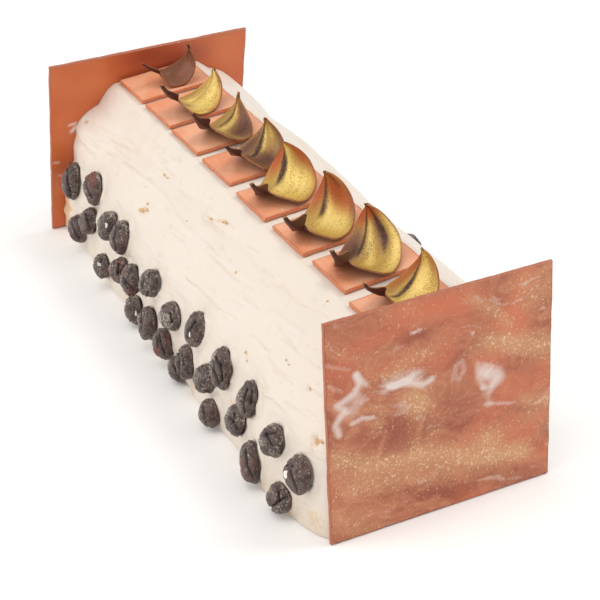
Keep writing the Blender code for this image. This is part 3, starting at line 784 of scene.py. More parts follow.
# Brushwork on the near plate's outer face: strength, reach across, reach up, (across, up) points
NEAR_PLATE_STROKES = {
    "pearl": (
        (0.6, 1.7, 1.7, ((-35, 67), (-34, 63), (-36, 60), (-40, 58), (-43, 57), (-40, 54), (-42, 52),
                          (-44, 49), (-42.5, 45))),
        (0.48, 1.4, 1.3, ((-35, 67), (-31, 62))),
        (0.56, 1.5, 1.1, ((-37, 48), (-33, 49), (-29, 48))),
        (0.4, 3.8, 3.1, ((-37, 53), (-34, 57))),
        (0.64, 2.7, 1.4, ((-21, 58), (-17, 58.5), (-12, 57), (-8, 55), (-5, 56))),
        (0.36, 4.5, 3.5, ((-19, 61), (-10, 60))),
        (0.64, 3.3, 3.6, ((18, 53), (23, 50.5), (24, 49))),
        (0.48, 1.8, 2.1, ((21, 45), (22, 47))),
        (0.32, 1.8, 1.7, ((5, 54), (6, 59), (8.5, 60), (9.5, 56), (7, 53), (5, 55))),
        (0.28, 1.8, 4.2, ((15, 56), (17, 48), (20, 40))),
        (0.12, 12, 11, ((40, 79),)),
        (0.28, 1.8, 1.1, ((-47, 74), (-38, 70))),
        (0.28, 1.5, 1.1, ((-46, 66), (-41, 62))),
        (0.48, 1.5, 0.84, ((-12, 77), (-9, 77.5))),
        (0.48, 1.2, 1.1, ((13, 70),)),
        (0.4, 3, 0.7, ((20, 39), (30, 36))),
    ),
    "dust": (
        (0.8, 5.0, 4.0, ((-44, 36), (-34, 30), (-20, 27), (0, 24), (14, 20), (34, 14))),
        (0.5, 10.0, 6.0, ((-36, 22), (20, 14))),
        (0.85, 6.0, 4.5, ((-12, 52), (-9, 47))),
        (0.9, 6.0, 5.0, ((20, 24),)),
        (0.6, 3.0, 2.5, ((12, 84), (22, 77), (28, 70))),
        (0.7, 9.0, 4.0, ((24, 64), (42, 58))),
        (0.6, 8.0, 9.0, ((38, 80),)),
        (0.5, 8.0, 3.0, ((-22, 63), (-8, 68))),
        (0.5, 3.5, 6.0, ((-27, 46),)),
        (0.4, 8.0, 3.0, ((38, 36), (46, 34))),
        (0.4, 5.0, 4.0, ((-44, 10), (-36, 6))),
    ),
    "salmon": (
        (0.85, 9.0, 6.0, ((-14, 86), (8, 84))),
        (0.8, 5.0, 8.0, ((30, 72), (36, 88))),
        (0.6, 3.5, 3.0, ((43, 26.5),)),
        (0.5, 7.0, 5.0, ((-38, 76), (-20, 80))),
    ),
    "brown": (
        (0.7, 0.8, 3.5, ((-8, 34), (-7, 39))),
        (0.5, 6.0, 2.5, ((-25, 14), (10, 4))),
        (0.45, 7.0, 5.0, ((-32, 40), (-22, 40))),
        (0.45, 6.0, 6.0, ((2, 46), (8, 40))),
        (0.45, 7.0, 5.0, ((30, 52), (38, 46))),
        (0.5, 8.0, 1.6, ((-22, 74), (-8, 76), (2, 78))),
        (0.4, 9.0, 3.0, ((16, 12), (36, 4))),
    ),
}
# The far plate's inner face: painted shade makes it darker behind the cream, painted light makes it
# brighter towards its left and right corners
FAR_PLATE_STROKES = {
    "brown": ((0.9, 15.0, 8.0, ((-2, 84), (16, 80))), (0.4, 30.0, 6.0, ((0, 68),))),
    "cut": ((0.5, 9.0, 9.0, ((-24, 73),)), (0.5, 12.0, 9.0, ((36, 79),))),
    "smear": ((0.9, 1.0, 0.9, ((-38.5, 52.5), (-36.5, 54.5))), (0.8, 0.8, 0.6, ((-39.5, 56), (-36.5, 56.5))),
              (0.6, 0.9, 0.5, ((-47.5, 37.5), (-45.5, 37))), (0.5, 0.7, 0.5, ((-45, 30), (-44, 29.5)))),
}


def sheet_grid(half_a, half_b, half_c, step, edge, uneven, seed):
    """Upper and lower grids and rims of a flat sheet, in its own three directions.

    Its outline wanders by noise, and its edge is rounded by four rims between the two faces.
    """
    lines = []
    for half in (half_a, half_b):
        inner = np.linspace(-1.0, 1.0, int(2 * half / step) + 1) * (1 - 0.15 / half)
        lines.append(np.concatenate(([-1.0], inner, [1.0])))
    a, b = np.meshgrid(*lines)
    wander_a = uneven * fractal(b * half_b / 6 + 7 * np.sign(a), 0 * a + seed, 3, 41)
    wander_b = uneven * fractal(a * half_a / 6 + 7 * np.sign(b), 0 * b + seed, 3, 43)
    plan = np.stack((a * (half_a - edge - uneven + wander_a), b * (half_b - edge - uneven + wander_b)), -1)
    outward = np.stack((np.sign(a) * (np.abs(a) == 1), np.sign(b) * (np.abs(b) == 1)), -1).reshape(-1, 2)
    around = border(*a.shape)
    rims = []
    for out, depth in ((0.7, -0.3), (1.0, -1.0), (1.0, 1.0), (0.7, 0.3)):
        flat = plan.reshape(-1, 2)[around] + outward[around] * edge * out
        level = np.full(len(around), (half_c + edge * depth) if depth < 0 else (-half_c + edge * depth))
        rims.append(np.column_stack((flat, level)))
    upper = np.dstack((plan, np.full(a.shape, half_c)))
    lower = np.dstack((plan, np.full(a.shape, -half_c)))
    return upper, lower, rims


def on_piece(middle, directions, points):
    return middle + points @ np.asarray(directions)


def marble_fields(a, b, seed):
    """Marbling: noise read at places that other noise has pushed aside, so that its clouds curl.  The
    washes are this noise taken apart into steps, each of which fades slowly and ends at a clear edge."""
    push_a = 9 * fractal(a / 26, b / 20, 3, seed) + 3 * fractal(a / 8, b / 6, 2, seed + 1)
    push_b = 9 * fractal(a / 26, b / 20, 3, seed + 2) + 3 * fractal(a / 8, b / 6, 2, seed + 3)
    turn = math.radians(-22)
    along = (a + push_a) * math.cos(turn) + (b + push_b) * math.sin(turn)
    across = (b + push_b) * math.cos(turn) - (a + push_a) * math.sin(turn)
    cloud = fractal(along / 26, across / 11, 4, seed + 4)
    wash = (4.5 * fractal(along / 24, across / 13, 2, seed + 5)) % 1
    wash = wash * smooth_step((1 - wash) / 0.12)
    feather = (3.5 * fractal(along / 15, across / 6, 2, seed + 6)) % 1
    return {"tone": np.clip(0.1 + 0.6 * cloud + 0.65 * wash, 0, 1),
            "brown": np.clip(0.42 * feather * smooth_step((1 - feather) / 0.15)
                             + 0.5 * smooth_step((fractal(along / 18, across / 6, 4,
                                                          seed + 6) - 0.1) / 0.35), 0, 1),
            "salmon": 0.6 * smooth_step((fractal(a / 30, b / 22, 3, seed + 7) - 0.05) / 0.5),
            "dust": 0.25 * smooth_step((fractal(along / 24, across / 9, 4, seed + 8) - 0.05) / 0.4),
            "pearl": 0.3 * smooth_step((fractal(along / 14, across / 3.5, 4, seed + 9) - 0.32) / 0.3)}


def build_plate(node, sign, strokes, inner_strokes, seed):
    """An end plate: thin, a little wavy at its edges, marbled outside and smooth inside."""
    middle, half, directions = node_box(node)
    ways = (directions[:, 0] * np.sign(directions[1, 0]), directions[:, 1] * np.sign(directions[2, 1]),
            directions[:, 2] * sign * np.sign(directions[0, 2]))
    upper, lower, rims = sheet_grid(*half, 0.62, 0.45, 0.22, seed)
    a, b = upper[..., 0], upper[..., 1] + half[1]
    fields = marble_fields(a, b, seed)
    for name, lines in strokes.items():
        fields[name] = np.clip(fields[name] + stroke_field(a, b, lines), 0, 1)
    upper[..., 2] += 0.05 * fields["dust"] + 0.06 * fields["pearl"] + 0.10 * fractal(a / 18, b / 18, 3, seed)
    upper[..., 2] -= 0.08
    lower[..., 2] += 0.04 * fractal(a / 25, b / 25, 2, seed + 3)
    points, quads = two_sided(upper, lower, rims)
    rim_count = len(points) - 2 * a.size
    attributes = {name: np.concatenate((fields[name].ravel(),
                                        np.zeros(a.size + rim_count))) for name in fields}
    inner = {name: stroke_field(a, b, lines) for name, lines in inner_strokes.items()}
    # inside, the brown strokes are painted shade behind the cream
    attributes["brown"][a.size:2 * a.size] = inner["brown"].ravel()
    # inside, the cut tint is painted light towards the corners
    cut, smear = (np.concatenate((np.zeros(a.size), inner.get(name, 0 * a).ravel(), np.zeros(rim_count)))
                  for name in ("cut", "smear"))
    if sign < 0:
        quads = quads[:, ::-1]
    piece = make_piece(node + "_chocolate", on_piece(middle, ways, points), quads, (),
                       bpy.data.materials["marbled_chocolate"], "milk_chocolate_plate", node,
                       cut=cut, smear=smear, **attributes)
    piece.data.materials.append(bpy.data.materials["satin_chocolate"])
    outer_faces = (a.shape[0] - 1) * (a.shape[1] - 1)
    index = np.zeros(len(quads), np.int32)
    index[outer_faces:2 * outer_faces] = 1
    piece.data.polygons.foreach_set("material_index", index)
    return piece


def build_tile(number):
    """A tile: broken from a thin sheet, so its edges wander a little and show a paler cut."""
    node = f"tile_{number}"
    middle, half, directions = node_box(node)
    ways = (directions[:, 1] * np.sign(directions[0, 1]), directions[:, 0] * np.sign(directions[1, 0]),
            directions[:, 2] * np.sign(directions[2, 2]))
    upper, lower, rims = sheet_grid(half[1], half[0], half[2], 0.7, 0.3, 0.25, number)
    a, b = upper[..., 0], upper[..., 1]
    upper[..., 2] += 0.08 * fractal(a / 9 + number, b / 9, 3, 51) - 0.05
    points, quads = two_sided(upper, lower, rims)
    rim_count = len(points) - 2 * a.size
    inset = np.minimum(half[1] - np.abs(a), half[0] - np.abs(b))
    cut = 0.35 * bump((inset - 0.5) / 0.35)
    piece = make_piece(node + "_chocolate", on_piece(middle, ways, points), quads, (),
                       bpy.data.materials["tile_chocolate"], "milk_chocolate_tile", node,
                       cut=np.concatenate((cut.ravel(), np.ones(a.size), np.ones(rim_count))),
                       brown=np.zeros(len(points)))
    return piece


# Petals -------------------------------------------------------------------------------------------

# Brushwork on each petal: base strength of each finish, then strokes as strength, reach across,
# reach along, (across from -1 far to 1 near, along from 0 stalk to 1 point).  Some gold strokes also
# paint highlights on the belly and beside the crease, and the darkening strokes are painted shade in
# the crease, at the tip and on the far lobe.
PETAL_STROKES = (
    {"gold_and_highlight": (0.15, ()), "bare": (0.75, ((0.5, 1.0, 0.2, ((0, 0.7),)),)), "rust": (0.25, ()),
     "painted_shade": (0.0, ((0.8, 1.5, 0.12, ((0, 1.0),)),))},
    {"gold_and_highlight": (0.8, ((0.9, 0.3, 0.3, ((0.4, 0.5), (0.3, 0.9))),)),
     "bare": (0.05, ((0.6, 0.2, 0.1, ((0.35, 0.4),)), (0.6, 0.25, 0.12, ((0.8, 0.92),)))),
     "rust": (0.05, ((0.5, 0.4, 0.3, ((-0.7, 0.6),)), (0.5, 0.2, 0.06, ((1.0, 0.6), (1.0, 0.9))))),
     "painted_shade": (0.0, ((0.4, 0.08, 0.3, ((0.1, 0.6), (0.05, 0.95))), (0.5, 0.4, 0.08, ((-0.3, 0.3),))))},
    {"gold_and_highlight": (0.45, ((1.0, 0.14, 0.1, ((0.05, 1.0), (0.2, 0.75), (0.15, 0.55))),
                     (0.7, 0.3, 0.1, ((0.3, 0.4),)))),
     "bare": (0.2, ((0.95, 0.35, 0.13, ((0.6, 0.6), (0.6, 0.8))), (0.9, 0.2, 0.1, ((0.85, 0.7),)),
                    (0.7, 0.3, 0.1, ((-0.4, 0.4),)), (0.8, 0.6, 0.05, ((0.5, 0.36),)))),
     "rust": (0.0, ((0.9, 1.0, 0.07, ((0.0, 0.97),)), (0.4, 0.3, 0.2, ((0.2, 0.85),)))),
     "painted_shade": (0.0, ((0.7, 0.07, 0.1, ((-0.03, 0.95), (0.02, 0.75), (0.0, 0.55))),
                    (0.5, 0.15, 0.08, ((0.75, 0.72), (0.6, 0.6))), (0.5, 0.5, 0.06, ((-0.3, 0.3),))))},
    {"gold_and_highlight": (0.35, ((1.0, 0.11, 0.1, ((0.05, 0.85), (0.2, 0.65), (0.3, 0.5))),
                     (0.8, 0.2, 0.1, ((0.4, 0.85),)))),
     "bare": (0.3, ((0.9, 0.5, 0.10, ((0.5, 0.45), (0.5, 0.55))), (0.8, 0.35, 0.2, ((-0.5, 0.6),)),
                    (0.5, 0.2, 0.2, ((0.9, 0.8),)))),
     "rust": (0.05, ((0.5, 1.0, 0.06, ((0.0, 0.98),)), (0.3, 0.2, 0.3, ((1.0, 0.75),)))),
     "painted_shade": (0.0, ((0.8, 0.08, 0.1, ((-0.12, 0.9), (0.05, 0.68), (0.15, 0.52))),
                    (0.5, 0.6, 0.10, ((-0.3, 0.35),)), (0.4, 0.2, 0.1, ((0.6, 0.55),))))},
    {"gold_and_highlight": (0.7, ((1.0, 0.2, 0.2, ((0.2, 0.55), (0.15, 0.9))), (1.0, 0.4, 0.14, ((0.5, 0.62),)))),
     "bare": (0.0, ((0.4, 0.25, 0.1, ((-0.3, 0.45),)),)),
     "rust": (0.0, ((0.95, 0.7, 0.22, ((-0.7, 0.85),)), (0.8, 0.4, 0.16, ((0.75, 0.9),)),
                    (0.5, 0.15, 0.3, ((1.0, 0.7),)))),
     "painted_shade": (0.0, ((0.75, 0.16, 0.2, ((-0.10, 0.8), (-0.12, 1.0))),
                    (0.7, 0.12, 0.10, ((0.0, 0.8), (-0.02, 0.62))),
                    (0.6, 0.5, 0.05, ((-0.3, 0.3),))))},
    {"gold_and_highlight": (0.6, ((1.0, 0.5, 0.13, ((0.5, 0.58),)), (1.0, 0.14, 0.12, ((0.22, 0.6), (0.15, 0.75))))),
     "bare": (0.1, ((0.8, 0.25, 0.12, ((-0.05, 0.88),)), (0.7, 0.15, 0.15, ((0.95, 0.75),)))),
     "rust": (0.0, ((1.0, 0.7, 0.22, ((-0.7, 0.85),)), (1.0, 0.5, 0.17, ((0.5, 0.88),)),
                    (0.5, 0.3, 0.1, ((0.7, 0.75),)))),
     "painted_shade": (0.0, ((0.9, 0.12, 0.1, ((-0.2, 0.92), (-0.08, 0.75), (0.0, 0.66))),
                    (0.6, 0.6, 0.05, ((0, 1.0),)),
                    (0.5, 0.25, 0.08, ((0.6, 0.92),)), (0.6, 0.5, 0.05, ((-0.3, 0.3),))))},
    {"gold_and_highlight": (0.5, ((1.0, 0.13, 0.1, ((0.1, 0.85), (0.16, 0.65), (0.35, 0.5))),
                    (1.0, 0.25, 0.2, ((0.9, 0.6), (0.9, 0.85))))),
     "bare": (0.1, ((1.0, 0.7, 0.2, ((-0.6, 0.62),)), (0.9, 0.16, 0.10, ((0.42, 0.86), (0.55, 0.74))))),
     "rust": (0.0, ((1.0, 0.7, 0.13, ((-0.5, 0.92),)), (1.0, 1.2, 0.10, ((0.1, 0.98),)),
                    (0.5, 0.15, 0.3, ((-1.0, 0.7),)))),
     "painted_shade": (0.0, ((0.7, 0.8, 0.04, ((0, 1.0),)), (0.9, 0.06, 0.08, ((-0.03, 0.88), (-0.02, 0.6))),
                    (0.75, 0.35, 0.10, ((-0.5, 0.48), (-0.3, 0.58))),
                    (0.75, 0.10, 0.10, ((0.40, 0.9), (0.55, 0.75))), (0.7, 0.6, 0.05, ((-0.3, 0.3),))))},
    {"gold_and_highlight": (0.65, ((1.0, 0.3, 0.15, ((0.35, 0.6), (0.35, 0.8))),)),
     "bare": (0.0, ((0.4, 0.4, 0.1, ((-0.4, 0.45),)),)),
     "rust": (0.0, ((0.95, 0.6, 0.2, ((-0.6, 0.88),)), (0.6, 0.5, 0.2, ((-0.7, 0.6),)),
                    (0.5, 0.3, 0.12, ((0.8, 0.9),)))),
     "painted_shade": (0.0, ((0.8, 0.08, 0.1, ((-0.2, 0.9), (-0.05, 0.75), (0.05, 0.6), (0.12, 0.45))),
                    (0.6, 0.5, 0.05, ((-0.3, 0.3),))))},
)


# How each petal narrows to its point on the far and the near side (1 full, 2 hollow), and how wide
# its near half is where it leaves the shoulder, as a share of its widest
PETAL_POINTS = ((2.0, 1.7, 0.60), (1.6, 1.0, 0.60), (2.2, 2.1, 0.55), (1.9, 1.2, 0.60),
                (1.2, 0.8, 0.60), (1.3, 0.85, 0.65), (1.3, 0.9, 0.60), (1.6, 0.95, 0.60))


def petal_half_widths(u, near, shoulder, far_point, near_point, start):
    """Half widths of the far and the near side along the petal, u from stalk end to point.

    The near side is a flap that widens from the stalk, a notch, then the belly; the belly's share
    tells how far the near side has turned down from the flap."""
    fall = 1 - np.clip((u - 0.55) / 0.45, 0, 1) ** 2
    far = PETAL_STALK + (near * PETAL_FAR_SHARE - PETAL_STALK) * smooth_step((u - 0.08) / 0.47)
    turned_down = smooth_step((u - SHOULDER_AT) / 0.04)
    belly_part = smooth_step((u - SHOULDER_AT - 0.02) / 0.06)
    before_widest = np.clip((WIDEST_AT - u) / (WIDEST_AT - SHOULDER_AT + 0.02), 0, 1)
    belly = near * (start + (1 - start) * np.sqrt(1 - before_widest ** 2))
    flap = 0.5 + (shoulder - 0.5) * smooth_step((u - 0.06) / (SHOULDER_AT - 0.10))
    flap = flap * (1 - 0.7 * smooth_step((u - SHOULDER_AT + 0.03) / 0.04))
    near_side = flap * (1 - belly_part) + belly * belly_part
    slim = 0.35 + 0.65 * smooth_step(u / 0.12)
    return (np.maximum(far * fall ** far_point, 0.35) * slim,
            np.maximum(near_side * fall ** near_point, 0.35) * slim, turned_down)


def petal_surface(row, number):
    """Upper face of a petal as a grid.

    The midrib is an arc, tight towards the point and slow towards the stalk.  Each half leaves the
    midrib sideways on its own slope, the near half stands up as a flap before the shoulder, a crease
    is pressed in beside the midrib, and the edges wander.
    """
    x, y, turn, roll, pitch, stalk, point, bend, near, shoulder = row
    turn, roll, pitch = (math.radians(angle) for angle in (turn, roll, pitch))
    u = np.linspace(0.0, 1.0, PETAL_LONG_STEPS + 1)
    v = np.linspace(-1.0, 1.0, PETAL_CROSS_STEPS + 1)[None, :]
    length = -stalk + u * (stalk + point)
    radius = np.where(length >= 0, bend, PETAL_STALK_BEND)
    angle = length / radius
    along, rise = radius * np.sin(angle), radius * (1 - np.cos(angle))
    far_width, near_width, belly_part = petal_half_widths(u, near, shoulder, *PETAL_POINTS[number - 1])
    is_near = v >= 0
    width = np.where(is_near, near_width[:, None], far_width[:, None])
    wander = 1 + 0.03 * noise(u[:, None] * 9, np.where(is_near, 3.0, 7.0), number)
    width = width * wander * np.abs(v)
    near_slope = (SHOULDER_TURN * (1 - belly_part) + PETAL_CAMBER * belly_part)[:, None]
    slope = np.where(is_near, near_slope, PETAL_CAMBER)
    sideways = width * np.cos(slope) * np.where(is_near, 1, -1)
    ridge = 0.9 * np.exp(-width / 3.0) * smooth_step((u[:, None] - 0.4) / 0.2)
    crease = bump((v - 0.07 + 0.25 * (u[:, None] - 0.7)) / 0.10) * smooth_step((u[:, None] - 0.35) / 0.15)
    lift = width * np.sin(slope) - 0.4 * crease * smooth_step((1 - u[:, None]) / 0.1)
    lift = lift + ridge + 0.25 * fractal(u[:, None] * 6 + number, v * 2, 3, 61)
    along, rise = (along[:, None] - np.sin(angle)[:, None] * lift,
                   rise[:, None] + np.cos(angle)[:, None] * lift)
    along, rise = (along * math.cos(pitch) + rise * math.sin(pitch),
                   rise * math.cos(pitch) - along * math.sin(pitch))
    sideways, rise = (sideways * math.cos(roll) + rise * math.sin(roll),
                      rise * math.cos(roll) - sideways * math.sin(roll))
    surface = np.stack((x - math.sin(turn) * along + math.cos(turn) * sideways,
                        y + math.cos(turn) * along + math.sin(turn) * sideways, rise), -1)
    return surface, u[:, None] + 0 * v, v + 0 * u[:, None]


def build_petal(number):
    """A petal with two faces and a rounded rim, laid with its lowest point on its tile."""
    upper, u, v = petal_surface(PETALS[number - 1], number)
    normals = grid_normals(upper)
    normals *= np.sign(normals[..., 2].mean())
    lower = upper - PETAL_THICKNESS * normals
    around = border(*u.shape)
    middle = (upper + lower).reshape(-1, 3)[around] / 2
    inner = np.roll(middle, 1, axis=0) - np.roll(middle, -1, axis=0)
    outward = unit(np.cross(inner, normals.reshape(-1, 3)[around]))
    centre = upper.reshape(-1, 3).mean(0)
    if np.einsum("ij,ij->i", outward, middle - centre).mean() < 0:
        outward = -outward
    rim = middle + 0.25 * outward
    plane = tile_plane(number, 1)
    gap = lower[..., 2] - plane_height(plane, lower[..., 0], lower[..., 1])
    shift = np.array((0.0, 0.0, 0.05 - gap.min()))
    points, quads = two_sided(upper + shift, lower + shift, [rim + shift])
    if np.cross(upper[1, 0] - upper[0, 0], upper[0, 1] - upper[0, 0])[2] < 0:
        quads = quads[:, ::-1]
    fields = {}
    for name, (base, lines) in PETAL_STROKES[number - 1].items():
        grid = stroke_field(v, u, lines, base)
        fields[name] = np.concatenate((grid.ravel(), grid.ravel(), grid.ravel()[around]))
    under = np.concatenate((np.zeros(u.size), np.ones(u.size), np.full(len(around), 0.3)))
    rim_tint = np.concatenate((0.5 * smooth_step((np.abs(v) - 0.93) / 0.07).ravel(), np.zeros(u.size),
                               np.full(len(around), 0.9)))
    piece = make_piece(f"petal_{number}_gilded", points, quads, (), bpy.data.materials["gilded_chocolate"],
                       "dark_chocolate_petal", f"petal_{number}", under=under, rim=rim_tint, **fields)
    strokes = piece.data.attributes.new("strokes", "FLOAT_VECTOR", "POINT")
    plan = np.stack((v * 7, u * 2.2, 0 * u + number), -1).reshape(-1, 3)
    strokes.data.foreach_set("vector", np.concatenate((plan, plan, plan[around])).astype(np.float32).ravel())
    return piece


# Drops --------------------------------------------------------------------------------------------

# What marks each drop, laid out on it as somebody standing at the near front corner sees it: across
# from -1 (left) to 1 (right) and up from -1 (low) to 1 (high).  Grooves are lines, pinholes and
# cream flecks are places.
GROOVES = {
    1: (((-0.3, 0.8), (-0.35, -0.05), (-0.15, -0.85)),), 2: (((-0.7, 0.5), (-0.5, -0.1), (-0.1, -0.6)),),
    3: (((-0.1, 0.6), (0.2, -0.5)),), 4: (((-0.6, 0.4), (-0.3, -0.3), (0.25, -0.75)),),
    6: (((-0.25, 0.75), (-0.65, -0.05), (-0.4, -0.8)),), 7: (((0.1, 0.6), (-0.3, 0.0)),),
    8: (((0.0, 0.5), (-0.1, -0.4)),), 9: (((-0.4, -0.05), (0.35, -0.65)), ((-0.65, 0.2), (-0.3, -0.5))),
    10: (((-0.5, 0.45), (-0.75, -0.4)),), 12: (((-0.5, 0.75), (-0.6, -0.3)),),
    13: (((0.1, 0.1), (0.2, -0.45)),), 14: (((0.05, 0.5), (-0.6, -0.1), (-0.7, -0.5)),),
    15: (((-0.25, 0.6), (-0.15, -0.1), (0.2, -0.65)), ((-0.6, 0.45), (-0.5, -0.3))),
    16: (((-0.65, 0.6), (-0.65, -0.1), (-0.5, -0.75)),), 17: (((-0.5, 0.4), (0.1, -0.45)),),
    19: (((-0.75, 0.4), (-0.55, -0.2), (-0.15, -0.8)), ((-0.4, 0.5), (0.05, 0.1), (0.15, -0.6))),
    20: (((0.0, 0.5), (-0.35, -0.25), (-0.2, -0.75)), ((0.5, 0.45), (0.4, -0.25))),
    21: (((-0.6, 0.5), (-0.5, -0.35)),),
    22: (((-0.2, -0.15), (-0.65, 0.2)), ((-0.2, -0.15), (0.25, -0.65)), ((-0.2, -0.15), (0.0, 0.4))),
    23: (((-0.5, 0.4), (0.05, -0.3)), ((-0.5, 0.4), (0.35, 0.5))),
    24: (((-0.4, 0.65), (-0.25, -0.2), (0.3, -0.8)),), 25: (((-0.55, 0.15), (-0.35, -0.35), (-0.05, -0.8)),),
    26: (((0.05, 0.4), (0.05, -0.25)), ((0.05, -0.25), (-0.6, -0.65)), ((0.05, -0.25), (0.7, 0.05))),
}
PINHOLES = {
    1: ((-0.15, -0.55),), 5: ((0.15, -0.3),), 6: ((0.1, 0.55),), 8: ((0.0, 0.55), (-0.1, -0.35)),
    9: ((0.6, -0.75),),
    10: ((0.05, 0.5), (-0.15, -0.65)), 11: ((0.4, -0.5),), 13: ((0.1, 0.15), (0.15, -0.4)),
    14: ((-0.55, -0.5), (0.05, 0.45)), 15: ((-0.4, 0.3),), 16: ((-0.25, 0.4), (-0.1, -0.2)),
    17: ((0.25, -0.75),),
    19: ((-0.4, 0.55), (0.05, 0.15), (0.1, -0.6)), 20: ((0.05, 0.55),), 21: ((-0.35, -0.6),),
    22: ((-0.2, -0.2),),
    23: ((-0.5, 0.4),), 25: ((-0.8, 0.45), (-0.4, 0.4)), 26: ((0.05, -0.25),),
}
FLECKS = {5: ((0.0, 0.0),), 7: ((-0.3, 0.1),), 11: ((0.3, -0.3),), 14: ((-0.5, -0.35),), 25: ((-0.8, -0.1),)}
# Corners (height above 0), flats and notches (below 0) of the outline, laid out the same way:
# angle in degrees from 0 (right) over 90 (up), height as a share of the radius, reach in degrees
OUTLINES = {
    1: ((0, -0.10, 45), (62, 0.08, 25), (-68, 0.10, 25)),
    2: ((-62, 0.16, 30), (-130, -0.10, 35), (120, 0.04, 30)),
    3: ((20, 0.08, 25), (-100, 0.08, 25), (-40, -0.05, 30)), 4: ((-50, 0.08, 25),),
    5: ((62, 0.08, 25), (0, -0.04, 30)),
    6: ((0, -0.08, 40), (68, 0.08, 25), (-65, 0.08, 25)),
    7: ((90, 0.12, 22), (20, -0.05, 30), (160, -0.05, 30)),
    9: ((80, 0.10, 25), (-62, 0.12, 22)), 11: ((85, 0.10, 25), (-50, 0.06, 30)),
    12: ((70, 0.10, 25), (0, -0.05, 30)),
    13: ((-35, -0.12, 14), (-60, 0.06, 20)), 14: ((75, 0.08, 25), (-100, 0.06, 25), (180, -0.05, 40)),
    15: ((-58, 0.14, 20), (15, -0.08, 35)), 16: ((70, 0.05, 25), (-80, 0.04, 30)),
    17: ((-65, 0.12, 20), (0, -0.06, 20)),
    18: ((-20, -0.08, 15),), 19: ((-38, -0.20, 14), (-62, 0.10, 16), (95, 0.06, 20)),
    20: ((-52, -0.20, 14), (-75, 0.06, 15), (75, 0.10, 25), (180, -0.06, 40)),
    21: ((110, 0.08, 25), (0, -0.08, 45)),
    22: ((-48, -0.16, 12), (-80, 0.06, 20), (40, 0.05, 25)),
    23: ((-28, -0.20, 12), (-55, 0.08, 18), (95, 0.06, 25)),
    24: ((5, -0.12, 45), (-62, 0.12, 18), (72, 0.05, 20)),
    25: ((10, 0.12, 20), (-75, 0.08, 25), (-40, -0.08, 20)),
    26: ((150, -0.04, 30), (-20, 0.04, 30)),
}
PALE = {1: 0.35, 2: 0.45, 5: 0.4, 10: 0.5, 13: 0.75, 18: 0.7, 19: 0.6, 20: 0.5, 22: 0.6, 23: 0.5, 26: 0.5}
WARM = {2: 0.8, 4: 0.5, 8: 1.0, 9: 0.7, 11: 0.5, 12: 0.5, 15: 0.8, 16: 0.5, 17: 0.5, 21: 0.5, 24: 0.6}


def lens(half, number):
    """A drop's rings from its front to its back: a full front, a low back, and a slow wavy outline."""
    polar = np.linspace(0.0, math.pi, DROP_RINGS)[:, None]
    turn = np.linspace(0, 2 * math.pi, DROP_SEGMENTS, endpoint=False)[None, :]
    radius, depth = np.sin(polar) + 0 * turn, np.cos(polar) + 0 * turn
    outline = 1 + 0.02 * np.cos(2 * turn + number) + 0.02 * noise(turn * 2.2 + number * 5.1, 0 * turn, 71)
    thickness = half[2] * 2
    height = np.where(depth > 0, (1 - DROP_BACKING) * thickness * np.abs(depth) ** 0.85,
                      -DROP_BACKING * thickness * np.abs(depth))
    return np.stack((radius * np.cos(turn) * outline * half[0], radius * np.sin(turn) * outline * half[1],
                     height), -1), depth


def seen_from_corner(points, middle, side):
    """Across (-1 to 1) and up (-1 to 1) on a drop for somebody standing at the near corner of its side,
    with the directions and half lengths that go with them.  Across is mirrored on the back."""
    towards = unit(CORNER_VIEW * (1, side, 1) - middle)
    across = unit(np.cross((0.0, 0.0, 1.0), towards)) * -side
    upwards = np.cross(towards, across) * -side
    places = []
    for way in (across, upwards):
        share = points @ way
        low, high = share.min(), share.max()
        places.append(((2 * share - low - high) / (high - low), way, (high - low) / 2))
    return places


